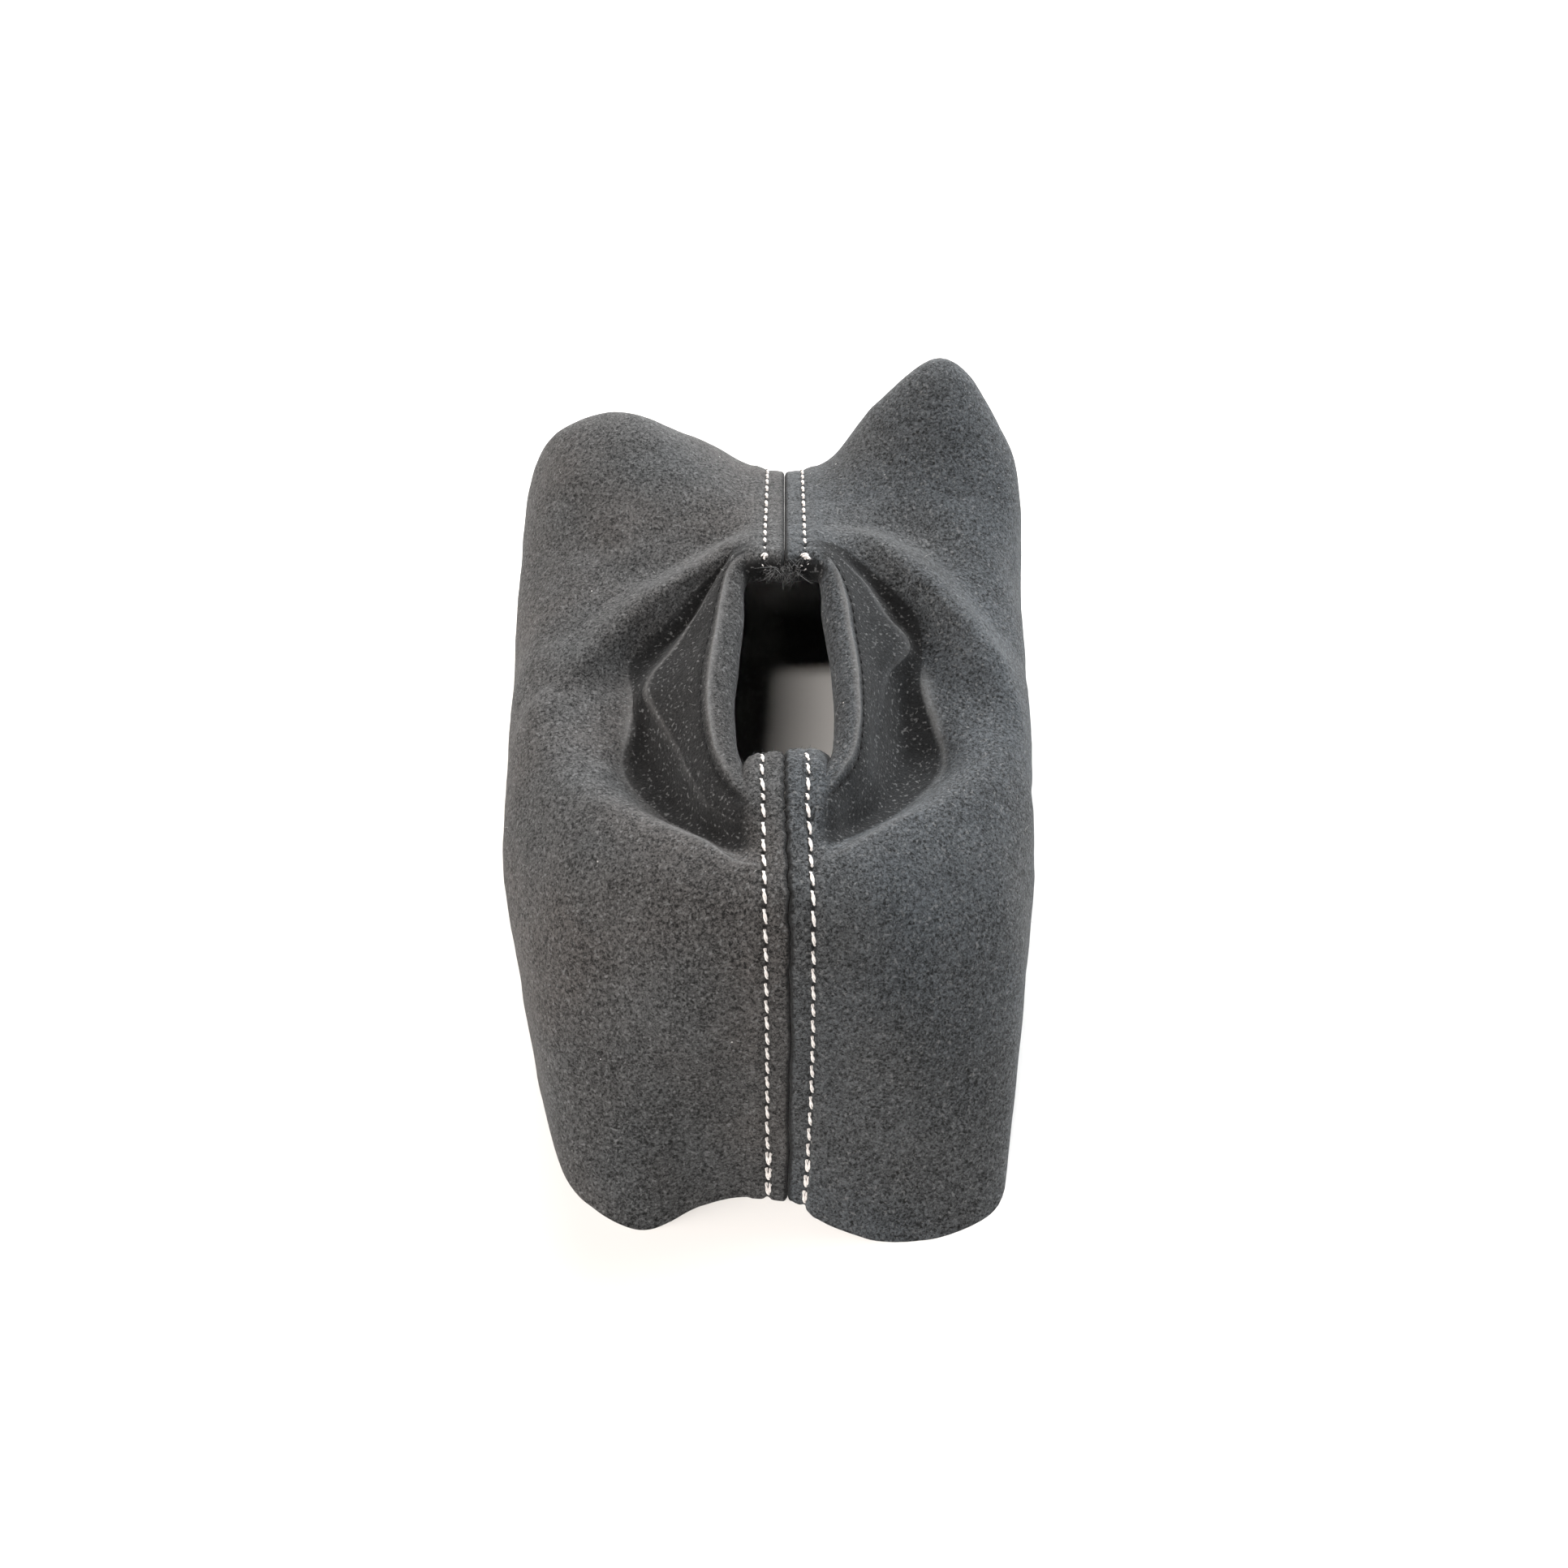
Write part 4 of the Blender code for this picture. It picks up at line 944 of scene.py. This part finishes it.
panels = {"left": Panel(-1), "right": Panel(1)}
runs = {}
grids = {}
for hand, panel in panels.items():
    dimples = []
    for end, seed in (("front", 3), ("rear", 5)):
        front = end == "front"
        runs[end, hand] = stitch_runs(panel, front, seed + panel.side)
        levels = level_at(panel, runs[end, hand], front)
        holes, normals = row_place(panel, levels, front, LEATHER / 2)
        dimples.extend(holes)
    grids[hand] = panel_grids(panel, dimples)

lowest = np.min([grid[0].reshape(-1, 3).min(axis=0) for grid in grids.values()], axis=0)
highest = np.max([grid[0].reshape(-1, 3).max(axis=0) for grid in grids.values()], axis=0)
middle = (np.array(CAD_BOX[0]) + np.array(CAD_BOX[1])) / 2 / MM
shift = middle - (lowest + highest) / 2
shift[2] = 0.0

pieces = {}


def take_place(piece, node):
    """Put a finished piece in a frame node's place."""
    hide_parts(node)
    pieces[piece.name] = piece


for hand, panel in panels.items():
    nap_side, flesh_side, masks = grids[hand]
    piece = panel_object(hand + "_suede_panel", panel, nap_side, flesh_side, masks, shift)
    piece.data.materials.append(left_suede if hand == "left" else right_suede)
    piece.data.materials.append(suede_back)
    take_place(piece, hand + "_panel")

master = stitch_master("stitch")
for hand, panel in panels.items():
    for end in ("front", "rear"):
        front = end == "front"
        holes = runs[end, hand]
        places = topstitch_places(panel, front, holes, shift)
        if not front:
            places += knot_places(panel, shift)
        row = end + "_" + hand
        piece = sew(row + "_stitches", master, places, white_thread)
        take_place(piece, row + "_topstitch")
        places = bobbin_places(panel, front, holes, shift)
        piece = sew(row + "_under_stitches", master, places, white_thread)
        take_place(piece, row + "_bobbin_thread")
        closing = end + "_closing_" + ("needle" if hand == "left" else "bobbin")
        piece = sew(closing + "_stitches", master, closing_places(panel, front, shift), black_thread)
        take_place(piece, closing + "_thread")
    for level, face, word, node in ((HEM_LINE_OUT, 1, "_hem_stitches", "_hem_needle_thread"),
                                    (HEM_LINE_IN, -1, "_hem_under_stitches", "_hem_bobbin_thread")):
        piece = sew(hand + word, master, hem_places(panel, level, face, 11, shift), black_thread)
        take_place(piece, hand + node)
bpy.data.objects.remove(master)

# Fluff pulled out of the rear of the neck, and the cut tails of the knots there.
for hand, panel in panels.items():
    rng = np.random.default_rng(41 + panel.side)
    spoke = panel.last - rng.uniform(0.02, 0.40, REAR_FIBRES)
    level = rng.uniform(-1.9, -1.2, REAR_FIBRES)
    roots = panel.points(spoke, level) + panel.normals(spoke, level) * (LEATHER / 2) + shift
    loose = panel.normals(spoke, level) * 0.8 + rng.normal(size=roots.shape) * 0.5
    lengths = rng.uniform(0.8, 1.8, REAR_FIBRES)
    piece = fibres(hand + "_rear_fray", roots, loose, lengths, 0.13, 1.0, 9, rear_fray)
    pieces[piece.name] = piece
    spoke = panel.spoke_at(np.array([3.6, 4.6, 5.6]), np.full(3, -1.2), False)
    level = np.array([-1.1, -1.4, -1.0])
    roots = panel.points(spoke, level) + panel.normals(spoke, level) * (LEATHER / 2) + shift
    loose = panel.normals(spoke, level) * 0.8 + rng.normal(size=roots.shape) * 0.3
    piece = fibres(hand + "_thread_tails", roots, loose, [0.7, 0.5, 0.9], 0.26, 0.2, 3, white_thread)
    pieces[piece.name] = piece

# Fibres along the raw edge of the hem, and pale lint on the panels.
fold_columns = len(section())
for hand, panel in panels.items():
    rng = np.random.default_rng(31 + panel.side)
    nap_side, flesh_side, masks = grids[hand]
    core = (nap_side + flesh_side)[fold_columns:-fold_columns]
    middle_edge = core[:, 0] / 2 + shift
    before_edge = core[:, 1] / 2 + shift
    picks = rng.integers(0, len(middle_edge), FRINGE_FIBRES)
    outward = middle_edge[picks] - before_edge[picks]
    outward /= np.linalg.norm(outward, axis=1, keepdims=True)
    outward += rng.normal(size=outward.shape) * 0.5
    roots = middle_edge[picks] + rng.normal(size=outward.shape) * 0.28
    lengths = rng.uniform(0.3, 1.1, FRINGE_FIBRES)
    piece = fibres(hand + "_hem_fringe", roots, outward, lengths, 0.055, 0.35, 5, loose_fibre)
    pieces[piece.name] = piece
    columns, rows = nap_side.shape[:2]
    across = rng.integers(20, columns - 20, LINT_FIBRES)
    along = rng.integers(4, rows - 8, LINT_FIBRES)
    roots = nap_side[across, along] + shift
    upright = np.cross(nap_side[across + 1, along] - nap_side[across, along],
                       nap_side[across, along + 1] - nap_side[across, along]) * -panel.side
    upright /= np.linalg.norm(upright, axis=1, keepdims=True)
    lying = upright * 0.35 + rng.normal(size=upright.shape) * 0.6
    lengths = rng.uniform(0.4, 1.2, LINT_FIBRES)
    piece = fibres(hand + "_lint", roots, lying, lengths, 0.05, 0.7, 7, pale_lint)
    pieces[piece.name] = piece

for piece in pieces.values():
    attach(piece, "root")

# ---- floor, light and camera, metres ----
FLOOR_SIZE = 2.2
LIGHT_TARGET = (0.0, 0.0, 0.05)
SENSOR_WIDTH = 36.0        # millimetres, like the focal length
FOCAL_RATIO = 2050 / 1932  # focal length over the width of the view
CAMERA_PLACE = (-0.0002, -0.252, 0.3793)    # from the origin of the cage
CAMERA_TILT = math.radians(35)

deselect()
bpy.ops.mesh.primitive_plane_add(size=FLOOR_SIZE, location=(0.0, 0.0, 0.0))
floor = bpy.context.active_object
floor.name = "floor"
pale = bpy.data.materials.new("pale_floor")
pale.use_nodes = True
surface = pale.node_tree.nodes["Principled BSDF"]
surface.inputs["Base Color"].default_value = (0.88, 0.86, 0.84, 1.0)
surface.inputs["Roughness"].default_value = 0.9
floor.data.materials.append(pale)


def soft_light(name, place, power, colour, size=0.8, size_y=0.4):
    """A rectangular lamp aimed at the gaiter, its longer side level."""
    light = bpy.data.lights.new(name, "AREA")
    light.shape = "RECTANGLE"
    light.size = size
    light.size_y = size_y
    light.energy = power
    light.color = colour
    thing = bpy.data.objects.new(name, light)
    thing.location = place
    back = (Vector(place) - Vector(LIGHT_TARGET)).normalized()
    along = Vector((1.0, 0.0, 0.0)) if abs(back.x) < abs(back.z) else Vector((0.0, 1.0, 0.0))
    along = (along - back * along.dot(back)).normalized()
    thing.rotation_euler = Matrix((along, back.cross(along), back)).transposed().to_euler()
    bpy.context.collection.objects.link(thing)


soft_light("key", (-0.40, -0.44, 1.38), 13.0, (1.0, 0.96, 0.92), 0.62, 0.11)
soft_light("front", (0.0, -1.2, 0.62), 7.0, (1.0, 1.0, 1.0))
soft_light("rear", (0.0, 1.2, 0.62), 21.0, (1.0, 1.0, 1.0))
soft_light("right", (0.86, 0.84, 0.62), 31.0, (0.93, 0.97, 1.0))
soft_light("left", (-1.2, 0.0, 0.60), 14.4, (1.0, 0.96, 0.93))

# The room looks white to the camera and lends the gaiter only a little light.
world = bpy.data.worlds.new("room")
world.use_nodes = True
nodes, links = world.node_tree.nodes, world.node_tree.links
background = nodes["Background"]
seen = nodes.new("ShaderNodeLightPath").outputs["Is Camera Ray"]
links.new(map_range(nodes, links, seen, 0.0, 1.0, 0.03, 1.0), background.inputs["Strength"])
background.inputs["Color"].default_value = (1.0, 1.0, 1.0, 1.0)
bpy.context.scene.world = world
bpy.context.scene.view_settings.view_transform = "Standard"

lens = bpy.data.cameras.new("camera")
lens.sensor_width = SENSOR_WIDTH
lens.lens = SENSOR_WIDTH * FOCAL_RATIO
lens.clip_start = 0.01
camera = bpy.data.objects.new("camera", lens)
camera.location = (shift[0] * MM + CAMERA_PLACE[0], shift[1] * MM + CAMERA_PLACE[1], CAMERA_PLACE[2])
camera.rotation_euler = (CAMERA_TILT, 0.0, 0.0)
bpy.context.collection.objects.link(camera)
bpy.context.scene.camera = camera
